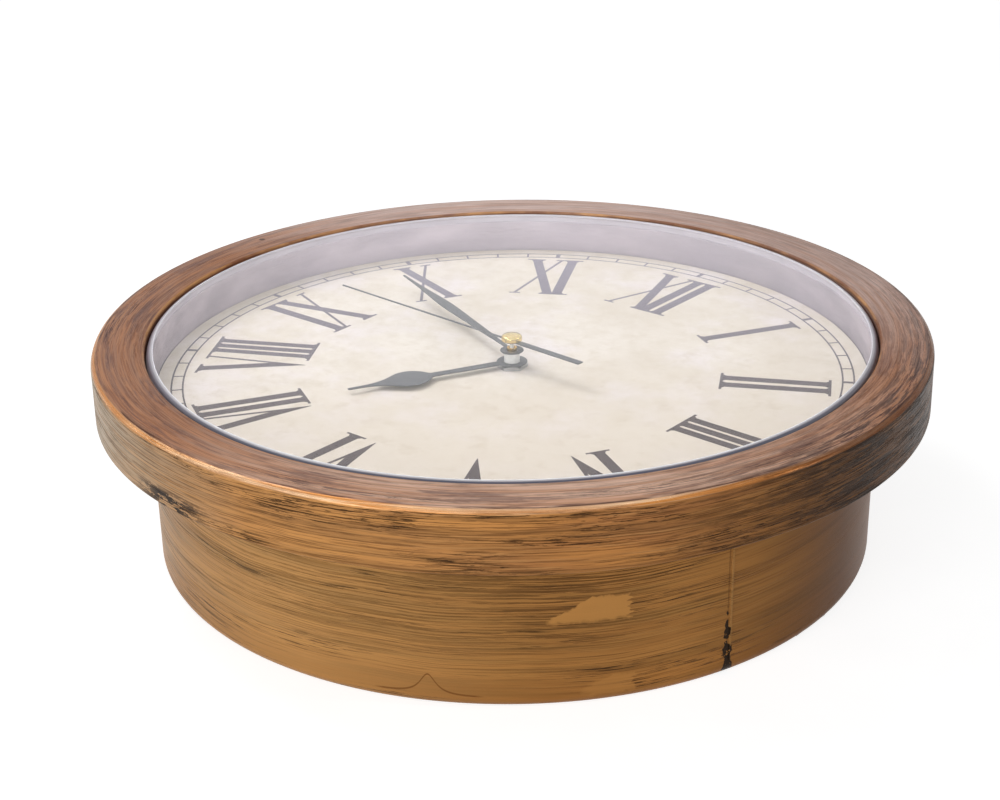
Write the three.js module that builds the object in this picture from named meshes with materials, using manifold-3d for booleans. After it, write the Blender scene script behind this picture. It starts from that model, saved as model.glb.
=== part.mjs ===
// A clock diversion safe: a round wall clock whose dial opens like a door on a shallow hidden case.
// Millimetres. The flat back lies on z = 0. +Z points out of the dial, +Y to XII and +X to III.
// The door turns on a steel hinge at IX, under the overhang of the bezel, and a magnet holds it at III.

import * as THREE from "three";
import { mergeVertices } from "three/addons/utils/BufferGeometryUtils.js";
import Module from "manifold-3d";

const wasm = await Module();
wasm.setup();

// Driving sizes of the whole clock
const bezelDiameter = 260;
const bezelOverhang = 16;
const bezelHeight = 19.4;
const caseHeight = 50.3;
const caseDraft = 0.6;

// Clearances that every piece shares
const fitGap = 0.3;
const runningGap = 0.1;
const cutOverrun = 1;
const weldDistance = 0.0001;

// Case: a moulded cup with a hinge pad outside, shelf ribs and a catch pillar inside
const caseWall = 2.2;
const caseFloor = 2.2;
const caseFootRadius = 3.5;
const hingePadStandOff = 1;
const hingePadHeight = 18;
const hingePadMargin = 2;
const ribThickness = 1.6;
const ribDepth = 5;
const ribSetback = 3;
const pillarMargin = 1.6;
const pillarStandOff = 2;

// Shelves and dividers that split the case into five compartments
const shelfThickness = 2.4;
const shelfSetback = 2.5;
const shelfMovementRoom = 8;
const dividerThickness = 2;
const dividerMovementRoom = 18;
const grooveDepth = 0.8;

// Keyhole for the wall screw, with its steel plate inside the floor
const keyholeHeadRadius = 5;
const keyholeSlotRadius = 2.4;
const keyholeSlotLength = 11;
const keyholeFloorMargin = 0.6;
const keyholeToRim = 36;
const keyholePlateThickness = 1;
const keyholePlateMargin = 5;
const keyholePlateHalfWidth = 19;
const rivetSpacing = 26;
const rivetShankRadius = 1.4;
const rivetHeadRadius = 2.6;
const rivetHeadHeight = 0.9;
const rivetEndRecess = 0.3;

// Catch: a magnet in the pillar and a steel keeper on the door
const magnetLength = 12;
const magnetWidth = 6;
const magnetHeight = 4;
const keeperThickness = 1;
const keeperMargin = 1.5;

// Hinge
const hingeHalfWidth = 18;
const hingeMiddleHalfWidth = 6;
const hingeLeafThickness = 1.2;
const hingeBarrelRadius = 2.4;
const hingePinRadius = 1;
const hingePinHeadRadius = 1.6;
const hingePinHeadHeight = 0.8;
const hingeLeafDrop = 13;
const hingeScrewDrop = 8.6;
const hingeCaseScrewOffset = 13.5;
const hingeDoorScrewOffset = 9.5;

// Screws
const hingeScrewShankRadius = 1.1;
const hingeScrewHeadRadius = 1.9;
const hingeScrewHeadHeight = 0.6;
const hingeCaseScrewBite = 2.4;
const hingeDoorScrewBite = 3.4;
const coverScrewShankRadius = 1.5;
const coverScrewHeadRadius = 2.9;
const coverScrewHeadHeight = 1.6;
const coverScrewBite = 8;
const coverScrewCount = 4;
const headTopShare = 0.8;
const recessWidthShare = 0.22;
const recessLengthShare = 1.3;
const recessDepthShare = 0.55;

// Door: bezel, lens, dial and back cover
const bezelWall = 2.2;
const bezelEdgeRadius = 2.4;
const bezelCrownRise = 0.4;
const crownShares = [0.25, 0.5, 0.75];
const bezelLowerChamfer = 0.5;
const bezelFaceWidth = 16.2;
const bezelArrisRadius = 0.8;
const bezelSkirtDrop = 0.3;
const wellWall = 2.6;
const wellLedgeWidth = 2.3;
const bossRadius = 3.6;
const lensThickness = 1.4;
const lensRecess = 0.3;
const lensEdgeRadius = 2.6;
const lensSkirtHeight = 3.6;
const lensSideGap = 1.2;
const coverThickness = 1.8;
const coverRibWidth = 2.4;
const coverRibHeight = 0.8;
const coverRibInset = 2;
const dialPlateThickness = 1.2;
const dialCardThickness = 0.3;
const dialCardThreadGap = 0.3;

// Quartz movement
const batteryDiameter = 14.2;
const batteryLength = 50.5;
const batteryNubRadius = 2.75;
const batteryNubHeight = 1.2;
const batteryEdgeRadius = 0.6;
const batteryEndRoom = 3.1;
const movementWall = 1.2;
const partitionWall = 1;
const trainRoomBelow = 11;
const trainRoomAbove = 26.8;
const windowGap = 0.5;
const wheelThickness = 0.8;
const wheelGap = 0.4;
const pinionLip = 0.3;
const arborRadius = 0.5;
const secondArborRadius = 0.7;
const minutePipeRadius = 1.6;
const minutePipeWall = 0.7;
const clutchCollarRadius = 2.4;
const clutchCollarThickness = 0.4;
const hourPipeRadius = 2.5;
const hourPipeWall = 0.7;
const bushRadius = 3.4;
const bushFlangeRadius = 4.8;
const bushFlangeThickness = 1;
const nutCornerRadius = 5;
const nutThickness = 1.3;
const nutSides = 6;
const nutThreadGap = 0.2;
const bushProud = 0.1;
const rotorMagnetRadius = 2.4;
const rotorMagnetHeight = 1.4;
const studRadius = 0.5;
const setArborRadius = 1;
const setKnobRadius = 5;
const setKnobHeight = 2.3;
const setKnobFluteRadius = 0.6;
const setKnobFluteCount = 12;
const middlePlateThickness = 0.8;
const middlePlatePillarRadius = 1.4;
const statorThickness = 0.8;
const statorHalfWidth = 4.4;
const statorAirGap = 0.5;
const statorTabWidth = 1.8;
const coilFlangeRadius = 3.1;
const coilWindingRadius = 2.6;
const coilLength = 16;
const coilFlangeThickness = 0.8;
const coilCoreWidth = 2;
const coilCoreThickness = 1;
const boardWidth = 22;
const boardDepth = 14;
const boardThickness = 1;
const boardDrop = 8;
const boardPostRadius = 1.3;
const contactThickness = 0.4;
const contactSize = 9;
const springWire = 0.5;
const springOuterRadius = 3.4;
const springInnerRadius = 1.8;

// Wheel train: tooth counts and modules
const hourWheelTeeth = 40;
const motionPinionTeeth = 10;
const motionWheelTeeth = 36;
const cannonPinionTeeth = 12;
const setPinionTeeth = 14;
const centreWheelTeeth = 48;
const thirdPinionTeeth = 6;
const thirdWheelTeeth = 45;
const secondPinionTeeth = 6;
const secondWheelTeeth = 48;
const fifthPinionTeeth = 8;
const fifthWheelTeeth = 40;
const rotorPinionTeeth = 8;
const motionModule = 0.3;
const trainModule = 0.4;
const secondModule = 0.3;
const rotorModule = 0.3;
const addendumShare = 0.62;
const dedendumShare = 1.05;

// Hands, with the heights of their levels above the dial
const handThickness = 0.4;
const hourHandRise = 1.4;
const hourPipeRise = 4.9;
const minuteHandRise = 5.2;
const minutePipeRise = 6.4;
const secondHandRise = 8.4;
const secondArborRise = 9.8;
const hourHandLength = 54.4;
const hourHandLeafHalfWidth = 5.7;
const hourHandDiscRadius = 4.85;
const minuteHandLength = 79.5;
const minuteHandLeafHalfWidth = 2.5;
const minuteHandDiscRadius = 3.7;
const secondHandLength = 77.6;
const secondHandTail = 28.5;
const secondHandHalfWidth = 0.55;
const secondHandTailHalfWidth = 1.15;
const secondHandDiscRadius = 2.6;
const secondCapRadius = 3.25;
const secondCapHeight = 2;
const secondCapRimHeight = 0.5;

// Where the hands stand, as angles from +X towards +Y
const hourHandAngle = THREE.MathUtils.degToRad(-118.2);
const minuteHandAngle = THREE.MathUtils.degToRad(157.2);
const secondHandAngle = THREE.MathUtils.degToRad(176.5);
const nutAngle = THREE.MathUtils.degToRad(-21);

// Directions of the wheel centres, one from the other
const motionDirection = THREE.MathUtils.degToRad(90);
const setDirection = THREE.MathUtils.degToRad(90);
const thirdDirection = THREE.MathUtils.degToRad(180);
const fifthDirection = THREE.MathUtils.degToRad(20);
const rotorDirection = THREE.MathUtils.degToRad(30);

// Facets
const shellSegments = 48;
const smallSegments = 16;
const screwSegments = 10;
const fluteSegments = 6;
const arcSteps = 3;
const smallArcSteps = 2;
const springTurns = 2;
const springStepsPerTurn = 8;
const springSides = 5;

// Hand outlines: share of the length from the centre, share of the leaf's half width
const hourOutlineShares = [
  [0.06, 0.2],
  [0.5, 0.19],
  [0.515, 0.42],
  [0.545, 0.72],
  [0.59, 0.95],
  [0.635, 1],
  [0.68, 0.92],
  [0.72, 0.7],
  [0.77, 0.42],
  [0.82, 0.24],
  [0.88, 0.14],
  [1, 0.09],
];
const minuteOutlineShares = [
  [0.04, 0.36],
  [0.14, 0.46],
  [0.22, 0.66],
  [0.36, 0.8],
  [0.48, 0.94],
  [0.58, 1],
  [0.66, 0.86],
  [0.76, 0.58],
  [0.86, 0.34],
  [1, 0.18],
];
const secondOutlineShares = [
  [0, 1],
  [0.3, 0.8],
  [1, 0.55],
];

// Materials, in the colours of the real clock
const bronzePaint = { color: 0x9a6433, roughness: 0.45, metalness: 0.35 };
const clearPlastic = { color: 0xeef0f4, roughness: 0.08, metalness: 0 };
const dialCardStock = { color: 0xe9e1d2, roughness: 0.75, metalness: 0 };
const darkPlastic = { color: 0x2c2a29, roughness: 0.6, metalness: 0 };
const greyPlastic = { color: 0x55565a, roughness: 0.55, metalness: 0 };
const whitePlastic = { color: 0xe4e4e0, roughness: 0.5, metalness: 0 };
const darkPaint = { color: 0x4a4a4c, roughness: 0.5, metalness: 0.2 };
const steel = { color: 0xb4b6b8, roughness: 0.35, metalness: 1 };
const brassMetal = { color: 0xd8b25a, roughness: 0.25, metalness: 1 };
const copperWire = { color: 0xb3622e, roughness: 0.4, metalness: 0.9 };
const boardGreen = { color: 0x2f6a42, roughness: 0.6, metalness: 0 };
const batteryWrap = { color: 0x33506e, roughness: 0.4, metalness: 0.1 };

const clock = new THREE.Group();

// Levels, from the back to the lens
const coverBottom = caseHeight + fitGap;
const coverTop = coverBottom + coverThickness;
const dialPlateBottom = coverTop + coverRibHeight;
const dialPlateTop = dialPlateBottom + dialPlateThickness;
const dialFace = dialPlateTop + dialCardThickness;
const skirtBottom = coverBottom - bezelSkirtDrop;
const bezelTop = skirtBottom + bezelHeight;
const bezelShoulder = bezelTop - bezelCrownRise;
const lensTop = bezelShoulder - lensRecess;
const lensSeat = lensTop - lensSkirtHeight;
const deckUnderside = bezelShoulder - bezelWall;

// Radii of the shells
const bezelRadius = bezelDiameter / 2;
const caseRimOuter = bezelRadius - bezelOverhang;
const caseFootOuter = caseRimOuter - caseDraft;
const caseInner = caseFootOuter - caseWall;
const skirtInner = bezelRadius - bezelWall;
const coverRadius = skirtInner - fitGap;
const faceInner = bezelRadius - bezelFaceWidth;
const wellInner = faceInner - wellLedgeWidth;
const wellOuter = wellInner + wellWall;
const lensRadius = faceInner - lensSideGap;
const dialPlateRadius = wellOuter;
const dialCardRadius = wellInner - fitGap;
const bossCircle = (wellOuter + skirtInner) / 2;

// Solids out of three.js geometry, and back again
function toSolid(geometry) {
  const bare = geometry.clone();
  bare.deleteAttribute("normal");
  bare.deleteAttribute("uv");
  const welded = mergeVertices(bare, weldDistance);
  const mesh = new wasm.Mesh({
    numProp: 3,
    vertProperties: welded.attributes.position.array,
    triVerts: new Uint32Array(welded.index.array),
  });
  return new wasm.Manifold(mesh);
}

function toGeometry(solid) {
  const mesh = solid.getMesh();
  const geometry = new THREE.BufferGeometry();
  geometry.setAttribute("position", new THREE.BufferAttribute(new Float32Array(mesh.vertProperties), 3));
  geometry.setIndex(new THREE.BufferAttribute(new Uint32Array(mesh.triVerts), 1));
  geometry.computeVertexNormals();
  return geometry;
}

// The first geometry with others joined to it and more cut away
function shaped(base, added = [], cut = []) {
  let solid = toSolid(base);
  for (const more of added) solid = solid.add(toSolid(more));
  for (const less of cut) solid = solid.subtract(toSolid(less));
  return toGeometry(solid);
}

// A named piece in the clock
function piece(name, geometry, look) {
  const mesh = new THREE.Mesh(geometry, new THREE.MeshStandardMaterial(look));
  mesh.name = name;
  clock.add(mesh);
  return mesh;
}

// Points of an arc in a (radius, height) profile
function arcPoints(centreR, centreZ, radius, fromDegrees, toDegrees, steps = arcSteps) {
  const points = [];
  for (let i = 0; i <= steps; i++) {
    const angle = THREE.MathUtils.degToRad(fromDegrees + ((toDegrees - fromDegrees) * i) / steps);
    points.push([centreR + radius * Math.cos(angle), centreZ + radius * Math.sin(angle)]);
  }
  return points;
}

// A profile of (radius, height) points turned about Y, then stood up along Z
function turned(points, segments = smallSegments) {
  const profile = points.map(([r, z]) => new THREE.Vector2(r, z));
  return new THREE.LatheGeometry(profile, segments).rotateX(Math.PI / 2);
}

// A ring profile that closes on itself
function turnedRing(inner, outer, low, high, segments = smallSegments) {
  return turned([[inner, low], [outer, low], [outer, high], [inner, high], [inner, low]], segments);
}

// A solid disc or rod on the axis
function turnedDisc(radius, low, high, segments = smallSegments) {
  return turned([[0, low], [radius, low], [radius, high], [0, high]], segments);
}

// A flat outline carried from one height to another; a round arc gets two points per curve segment
function prism(shape, low, high, segments = smallSegments) {
  const settings = { depth: high - low, bevelEnabled: false, curveSegments: segments / 2 };
  return new THREE.ExtrudeGeometry(shape, settings).translate(0, 0, low);
}

// A box between two corners
function block(x0, x1, y0, y1, z0, z1) {
  const box = new THREE.BoxGeometry(x1 - x0, y1 - y0, z1 - z0);
  return box.translate((x0 + x1) / 2, (y0 + y1) / 2, (z0 + z1) / 2);
}

function polygon(points) {
  return new THREE.Shape(points.map(([x, y]) => new THREE.Vector2(x, y)));
}

function circleHole(x, y, radius) {
  const path = new THREE.Path();
  path.absarc(x, y, radius, 0, 2 * Math.PI, true);
  return path;
}

function moved(geometry, x, y, z = 0) {
  return geometry.translate(x, y, z);
}

// Turns an outline drawn in (y, z) so that its thickness runs along X
function facingX(geometry) {
  const yAxis = new THREE.Vector3(0, 1, 0);
  const zAxis = new THREE.Vector3(0, 0, 1);
  const xAxis = new THREE.Vector3(1, 0, 0);
  return geometry.applyMatrix4(new THREE.Matrix4().makeBasis(yAxis, zAxis, xAxis));
}

// A pan-head screw on Z, its seat on z = 0, its shank upwards and a cross recess in the head below
function screw(shankRadius, headRadius, headHeight, length) {
  const body = turned(
    [[0, -headHeight], [headRadius * headTopShare, -headHeight], [headRadius, -headHeight / 2],
      [headRadius, 0],
      [shankRadius, 0], [shankRadius, length - shankRadius], [0, length]],
    screwSegments,
  );
  const width = headRadius * recessWidthShare;
  const reach = (headRadius * recessLengthShare) / 2;
  const top = -headHeight * (1 - recessDepthShare);
  const low = -headHeight - cutOverrun;
  const barX = block(-reach, reach, -width / 2, width / 2, low, top);
  const barY = block(-width / 2, width / 2, -reach, reach, low, top);
  return shaped(body, [], [barX, barY]);
}

// Case
const hingePadFace = caseRimOuter + hingePadStandOff;
const hingeAxisX = -(hingePadFace + fitGap + hingeBarrelRadius);
const hingeAxisZ = coverBottom - fitGap - hingeBarrelRadius;
const hingePadHalfWidth = hingeHalfWidth + hingePadMargin;
const hingeScrewZ = hingeAxisZ - hingeScrewDrop;
const hingeCaseScrewHole = hingeCaseScrewBite + fitGap;

const movementHalfWidth = (batteryLength + batteryEndRoom) / 2 + movementWall;
const movementBack = dialPlateBottom - movementWall - batteryDiameter - 2 * fitGap;
const shelfY = movementHalfWidth + shelfMovementRoom;
const dividerX = movementHalfWidth + dividerMovementRoom;
const shelfTop = caseHeight - shelfSetback;

const keeperBottom = coverBottom - keeperThickness;
const magnetTop = keeperBottom - fitGap;
const pillarHalfLength = magnetLength / 2 + fitGap + pillarMargin;
const pillarDepth = magnetWidth + 2 * fitGap + pillarMargin + pillarStandOff;
const pillarX = caseInner - pillarDepth;
const magnetX = pillarX + pillarMargin + fitGap + magnetWidth / 2;
const keyholeY = caseInner - keyholeToRim;

function keyholeShape(headRadius, slotRadius, Kind) {
  const shape = new Kind();
  const join = Math.asin(slotRadius / headRadius);
  shape.absarc(0, keyholeY, headRadius, Math.PI / 2 + join, Math.PI * 2.5 - join);
  shape.absarc(0, keyholeY + keyholeSlotLength, slotRadius, 0, Math.PI);
  shape.closePath();
  return shape;
}

// Two ribs at each end of each shelf make the slots that the shelves slide into
function shelfRibs() {
  const ribs = [];
  const offset = shelfThickness / 2 + fitGap + ribThickness / 2;
  const wallMiddle = caseInner + caseWall / 2;
  for (const shelfSide of [-1, 1]) {
    for (const ribSide of [-1, 1]) {
      const y = shelfSide * shelfY + ribSide * offset;
      const reach = Math.sqrt(wallMiddle ** 2 - y ** 2);
      for (const end of [-1, 1]) {
        const outer = end * reach;
        const inner = end * (reach - caseWall / 2 - ribDepth);
        const rib = block(Math.min(inner, outer), Math.max(inner, outer), y - ribThickness / 2,
          y + ribThickness / 2, caseFloor / 2, shelfTop - ribSetback);
        ribs.push(rib);
      }
    }
  }
  return ribs;
}

function caseShell() {
  const cup = turned(
    [[0, 0], ...arcPoints(caseFootOuter - caseFootRadius, caseFootRadius, caseFootRadius, -90, 0),
      [caseRimOuter, caseHeight], [0, caseHeight]],
    shellSegments,
  );
  const pad = block(-hingePadFace, -caseInner, -hingePadHalfWidth, hingePadHalfWidth,
    caseHeight - hingePadHeight, caseHeight);
  const cavity = turnedDisc(caseInner, caseFloor, caseHeight + cutOverrun, shellSegments);
  const hollow = toSolid(shaped(cup, [pad], [cavity]));

  const pillar = block(pillarX, caseInner + caseWall / 2, -pillarHalfLength, pillarHalfLength,
    caseFloor / 2, magnetTop);
  const pocket = block(magnetX - magnetWidth / 2 - fitGap, magnetX + magnetWidth / 2 + fitGap,
    -magnetLength / 2 - fitGap, magnetLength / 2 + fitGap, magnetTop - magnetHeight, magnetTop + cutOverrun);
  const keyhole = prism(
    keyholeShape(keyholeHeadRadius + keyholeFloorMargin, keyholeSlotRadius + keyholeFloorMargin, THREE.Shape),
    -cutOverrun, caseFloor + cutOverrun,
  );
  const cuts = [pocket, keyhole];
  for (const side of [-1, 1]) {
    const rivetHole = turnedDisc(rivetShankRadius + fitGap, -cutOverrun, caseFloor + cutOverrun,
      screwSegments);
    cuts.push(moved(rivetHole, (side * rivetSpacing) / 2, keyholeY));
    const pilot = turnedDisc(hingeScrewShankRadius + fitGap, -cutOverrun, hingeCaseScrewHole, screwSegments);
    pilot.rotateY(Math.PI / 2);
    cuts.push(moved(pilot, -hingePadFace, side * hingeCaseScrewOffset, hingeScrewZ));
  }
  let solid = hollow;
  for (const more of [pillar, ...shelfRibs()]) solid = solid.add(toSolid(more));
  for (const less of cuts) solid = solid.subtract(toSolid(less));
  return toGeometry(solid);
}
piece("case_shell", caseShell(), bronzePaint);

// Shelves, with a groove for each divider in the side that faces the middle
function shelf(side) {
  const inner = shelfY - shelfThickness / 2;
  const outer = shelfY + shelfThickness / 2;
  const reach = Math.sqrt((caseInner - fitGap) ** 2 - outer ** 2);
  const grooveHalf = dividerThickness / 2 + fitGap;
  const groove = inner + grooveDepth;
  const half = [
    [dividerX - grooveHalf, inner],
    [dividerX - grooveHalf, groove],
    [dividerX + grooveHalf, groove],
    [dividerX + grooveHalf, inner],
    [reach, inner],
    [reach, outer],
  ];
  const mirrored = half.map(([x, y]) => [-x, y]).reverse();
  const outline = [...half, ...mirrored].map(([x, y]) => [x, side * y]);
  return prism(polygon(outline), caseFloor, shelfTop);
}
piece("shelf_upper", shelf(1), darkPlastic);
piece("shelf_lower", shelf(-1), darkPlastic);

function divider(side) {
  const reach = shelfY - shelfThickness / 2 + grooveDepth - fitGap;
  const centre = side * dividerX;
  return block(centre - dividerThickness / 2, centre + dividerThickness / 2, -reach, reach, caseFloor,
    shelfTop);
}
piece("divider_left", divider(-1), darkPlastic);
piece("divider_right", divider(1), darkPlastic);

// Keyhole plate and its rivets
function keyholePlate() {
  const low = keyholeY - keyholeHeadRadius - keyholePlateMargin;
  const high = keyholeY + keyholeSlotLength + keyholeSlotRadius + keyholePlateMargin;
  const half = keyholePlateHalfWidth;
  const outline = polygon([[-half, low], [half, low], [half, high], [-half, high]]);
  outline.holes.push(keyholeShape(keyholeHeadRadius, keyholeSlotRadius, THREE.Path));
  for (const side of [-1, 1]) {
    outline.holes.push(circleHole((side * rivetSpacing) / 2, keyholeY, rivetShankRadius + fitGap));
  }
  return prism(outline, caseFloor, caseFloor + keyholePlateThickness, screwSegments);
}
piece("keyhole_plate", keyholePlate(), steel);

function rivet(side) {
  const seat = caseFloor + keyholePlateThickness;
  const body = turned(
    [[0, rivetEndRecess], [rivetShankRadius, rivetEndRecess], [rivetShankRadius, seat],
      [rivetHeadRadius, seat],
      [rivetHeadRadius, seat + rivetHeadHeight / 2], [rivetHeadRadius / 2, seat + rivetHeadHeight],
      [0, seat + rivetHeadHeight]],
    screwSegments,
  );
  return moved(body, (side * rivetSpacing) / 2, keyholeY);
}
piece("keyhole_rivet_left", rivet(-1), steel);
piece("keyhole_rivet_right", rivet(1), steel);

// Catch magnet and the steel keeper above it
const magnetBox = block(magnetX - magnetWidth / 2, magnetX + magnetWidth / 2, -magnetLength / 2,
  magnetLength / 2,
  magnetTop - magnetHeight, magnetTop);
piece("catch_magnet", magnetBox, greyPlastic);

const keeperBox = block(magnetX - magnetWidth / 2 - keeperMargin, magnetX + magnetWidth / 2 + keeperMargin,
  -magnetLength / 2 - keeperMargin, magnetLength / 2 + keeperMargin, keeperBottom, coverBottom);
piece("keeper_plate", keeperBox, steel);

// Hinge: the case leaf stands on the pad, the door leaf lies under the back cover
function barrel(low, high) {
  const ring = turnedRing(hingePinRadius + runningGap, hingeBarrelRadius, low, high);
  return moved(ring.rotateX(Math.PI / 2), hingeAxisX, 0, hingeAxisZ);
}

function pinBore() {
  const rod = turnedDisc(hingePinRadius + runningGap, -hingeHalfWidth - cutOverrun,
    hingeHalfWidth + cutOverrun);
  return moved(rod.rotateX(Math.PI / 2), hingeAxisX, 0, hingeAxisZ);
}

function caseLeaf() {
  const low = hingeAxisZ - hingeLeafDrop;
  const notch = hingeAxisZ - hingeBarrelRadius - fitGap;
  const notchHalf = hingeMiddleHalfWidth + fitGap / 2;
  const outline = polygon([[-hingeHalfWidth, low], [hingeHalfWidth, low], [hingeHalfWidth, hingeAxisZ],
    [notchHalf, hingeAxisZ], [notchHalf, notch], [-notchHalf, notch], [-notchHalf, hingeAxisZ],
    [-hingeHalfWidth, hingeAxisZ]]);
  for (const side of [-1, 1]) {
    outline.holes.push(circleHole(side * hingeCaseScrewOffset, hingeScrewZ, hingeScrewShankRadius + fitGap));
  }
  const plate = facingX(prism(outline, -hingePadFace - hingeLeafThickness, -hingePadFace, screwSegments));
  const barrels = [barrel(-hingeHalfWidth, -notchHalf), barrel(notchHalf, hingeHalfWidth)];
  return shaped(plate, barrels, [pinBore()]);
}
piece("hinge_case_leaf", caseLeaf(), steel);

// The door leaf fills the overhang between the barrel and the skirt
const barrelOuter = hingeAxisX - hingeBarrelRadius - fitGap;
const leafEnd = fitGap - Math.sqrt(skirtInner ** 2 - hingeHalfWidth ** 2);
const doorLeafScrewX = (leafEnd + barrelOuter) / 2;

function doorLeaf() {
  const tongueHalf = hingeMiddleHalfWidth - fitGap / 2;
  const outline = polygon([[leafEnd, -hingeHalfWidth], [barrelOuter, -hingeHalfWidth],
    [barrelOuter, -tongueHalf],
    [hingeAxisX, -tongueHalf], [hingeAxisX, tongueHalf], [barrelOuter, tongueHalf],
    [barrelOuter, hingeHalfWidth], [leafEnd, hingeHalfWidth]]);
  for (const side of [-1, 1]) {
    outline.holes.push(circleHole(doorLeafScrewX, side * hingeDoorScrewOffset, hingeScrewShankRadius + fitGap));
  }
  const plate = prism(outline, coverBottom - hingeLeafThickness, coverBottom, screwSegments);
  return shaped(plate, [barrel(-tongueHalf, tongueHalf)], [pinBore()]);
}
piece("hinge_door_leaf", doorLeaf(), steel);

function hingePin() {
  const end = hingeHalfWidth + fitGap;
  const cap = end + hingePinHeadHeight;
  const rod = turned([[0, -cap], [hingePinHeadRadius, -cap], [hingePinHeadRadius, -end],
    [hingePinRadius, -end],
    [hingePinRadius, end], [hingePinHeadRadius, end], [hingePinHeadRadius, cap], [0, cap]]);
  return moved(rod.rotateX(Math.PI / 2), hingeAxisX, 0, hingeAxisZ);
}
piece("hinge_pin", hingePin(), steel);

[-1, 1].forEach((side, index) => {
  const caseScrewLength = hingeLeafThickness + hingeCaseScrewBite;
  const intoCase = screw(hingeScrewShankRadius, hingeScrewHeadRadius, hingeScrewHeadHeight, caseScrewLength);
  intoCase.rotateY(Math.PI / 2);
  moved(intoCase, -hingePadFace - hingeLeafThickness, side * hingeCaseScrewOffset, hingeScrewZ);
  piece("hinge_case_screw_" + (index + 1), intoCase, steel);

  const doorScrewLength = hingeLeafThickness + hingeDoorScrewBite;
  const intoDoor = screw(hingeScrewShankRadius, hingeScrewHeadRadius, hingeScrewHeadHeight, doorScrewLength);
  moved(intoDoor, doorLeafScrewX, side * hingeDoorScrewOffset, coverBottom - hingeLeafThickness);
  piece("hinge_door_screw_" + (index + 1), intoDoor, steel);
});

// Bezel: a hollow moulded ring with the dial's well inside it and bosses for the cover screws
function coverScrewPlaces() {
  const places = [];
  for (let i = 0; i < coverScrewCount; i++) {
    const angle = ((i + 0.5) * 2 * Math.PI) / coverScrewCount;
    places.push([bossCircle * Math.cos(angle), bossCircle * Math.sin(angle)]);
  }
  return places;
}

function bezelProfile() {
  const crownOuter = bezelRadius - bezelEdgeRadius;
  const crownInner = faceInner + bezelArrisRadius;
  const crown = crownShares.map((share) => [
    crownOuter + (crownInner - crownOuter) * share,
    bezelShoulder + bezelCrownRise * (1 - (2 * share - 1) ** 2),
  ]);
  return [
    [bezelRadius - bezelLowerChamfer, skirtBottom],
    [bezelRadius, skirtBottom + bezelLowerChamfer],
    ...arcPoints(crownOuter, bezelShoulder - bezelEdgeRadius, bezelEdgeRadius, 0, 90),
    ...crown,
    ...arcPoints(crownInner, bezelShoulder - bezelArrisRadius, bezelArrisRadius, 90, 180, smallArcSteps),
    [faceInner, lensSeat],
    [wellInner, lensSeat],
    [wellInner, dialPlateTop],
    [wellOuter, dialPlateTop],
    [wellOuter, deckUnderside],
    [skirtInner, deckUnderside],
    [skirtInner, skirtBottom],
    [bezelRadius - bezelLowerChamfer, skirtBottom],
  ];
}

function bezelRing() {
  const bosses = [];
  const pilots = [];
  for (const [x, y] of coverScrewPlaces()) {
    bosses.push(moved(turnedDisc(bossRadius, coverTop, deckUnderside + bezelWall / 2), x, y));
    const pilotTop = coverTop + coverScrewBite + fitGap;
    const pilot = turnedDisc(coverScrewShankRadius + fitGap, coverTop - cutOverrun, pilotTop, screwSegments);
    pilots.push(moved(pilot, x, y));
  }
  for (const side of [-1, 1]) {
    const y = side * hingeDoorScrewOffset;
    bosses.push(moved(turnedDisc(bossRadius, coverTop, deckUnderside + bezelWall / 2), doorLeafScrewX, y));
    const pilotTop = coverBottom + hingeDoorScrewBite + fitGap;
    const pilot = turnedDisc(hingeScrewShankRadius + fitGap, coverTop - cutOverrun, pilotTop, screwSegments);
    pilots.push(moved(pilot, doorLeafScrewX, y));
  }
  return shaped(turned(bezelProfile(), shellSegments), bosses, pilots);
}
piece("bezel_ring", bezelRing(), bronzePaint);

// Lens: a clear dish with a rolled edge that stands on the ledge of the well
function lensDish() {
  const innerRadius = lensEdgeRadius - lensThickness;
  const edgeCentre = lensRadius - lensEdgeRadius;
  const edgeHeight = lensTop - lensEdgeRadius;
  const profile = [
    [0, lensTop - lensThickness],
    ...arcPoints(edgeCentre, edgeHeight, innerRadius, 90, 0, smallArcSteps),
    [lensRadius - lensThickness, lensSeat],
    [lensRadius, lensSeat],
    ...arcPoints(edgeCentre, edgeHeight, lensEdgeRadius, 0, 90),
    [0, lensTop],
  ];
  return turned(profile, shellSegments);
}
piece("lens", lensDish(), clearPlastic);

// Dial: a printed card on a stiff plate, both pierced for the threaded bush
function dialDisc(radius, hole, low, high) {
  return turnedRing(hole, radius, low, high, shellSegments);
}
const bushHole = bushRadius + dialCardThreadGap;
piece("dial_card", dialDisc(dialCardRadius, bushHole, dialPlateTop, dialFace), dialCardStock);
piece("dial_plate", dialDisc(dialPlateRadius, bushHole, dialPlateBottom, dialPlateTop), darkPlastic);

// Back cover: closes the bezel from behind, with a window for the movement
const movementTop = trainRoomAbove + movementWall;
const batteryY = -(trainRoomBelow + partitionWall + fitGap + batteryDiameter / 2);
const bayBottom = batteryY - batteryDiameter / 2 - fitGap;
const movementBottom = bayBottom - movementWall;

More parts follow.
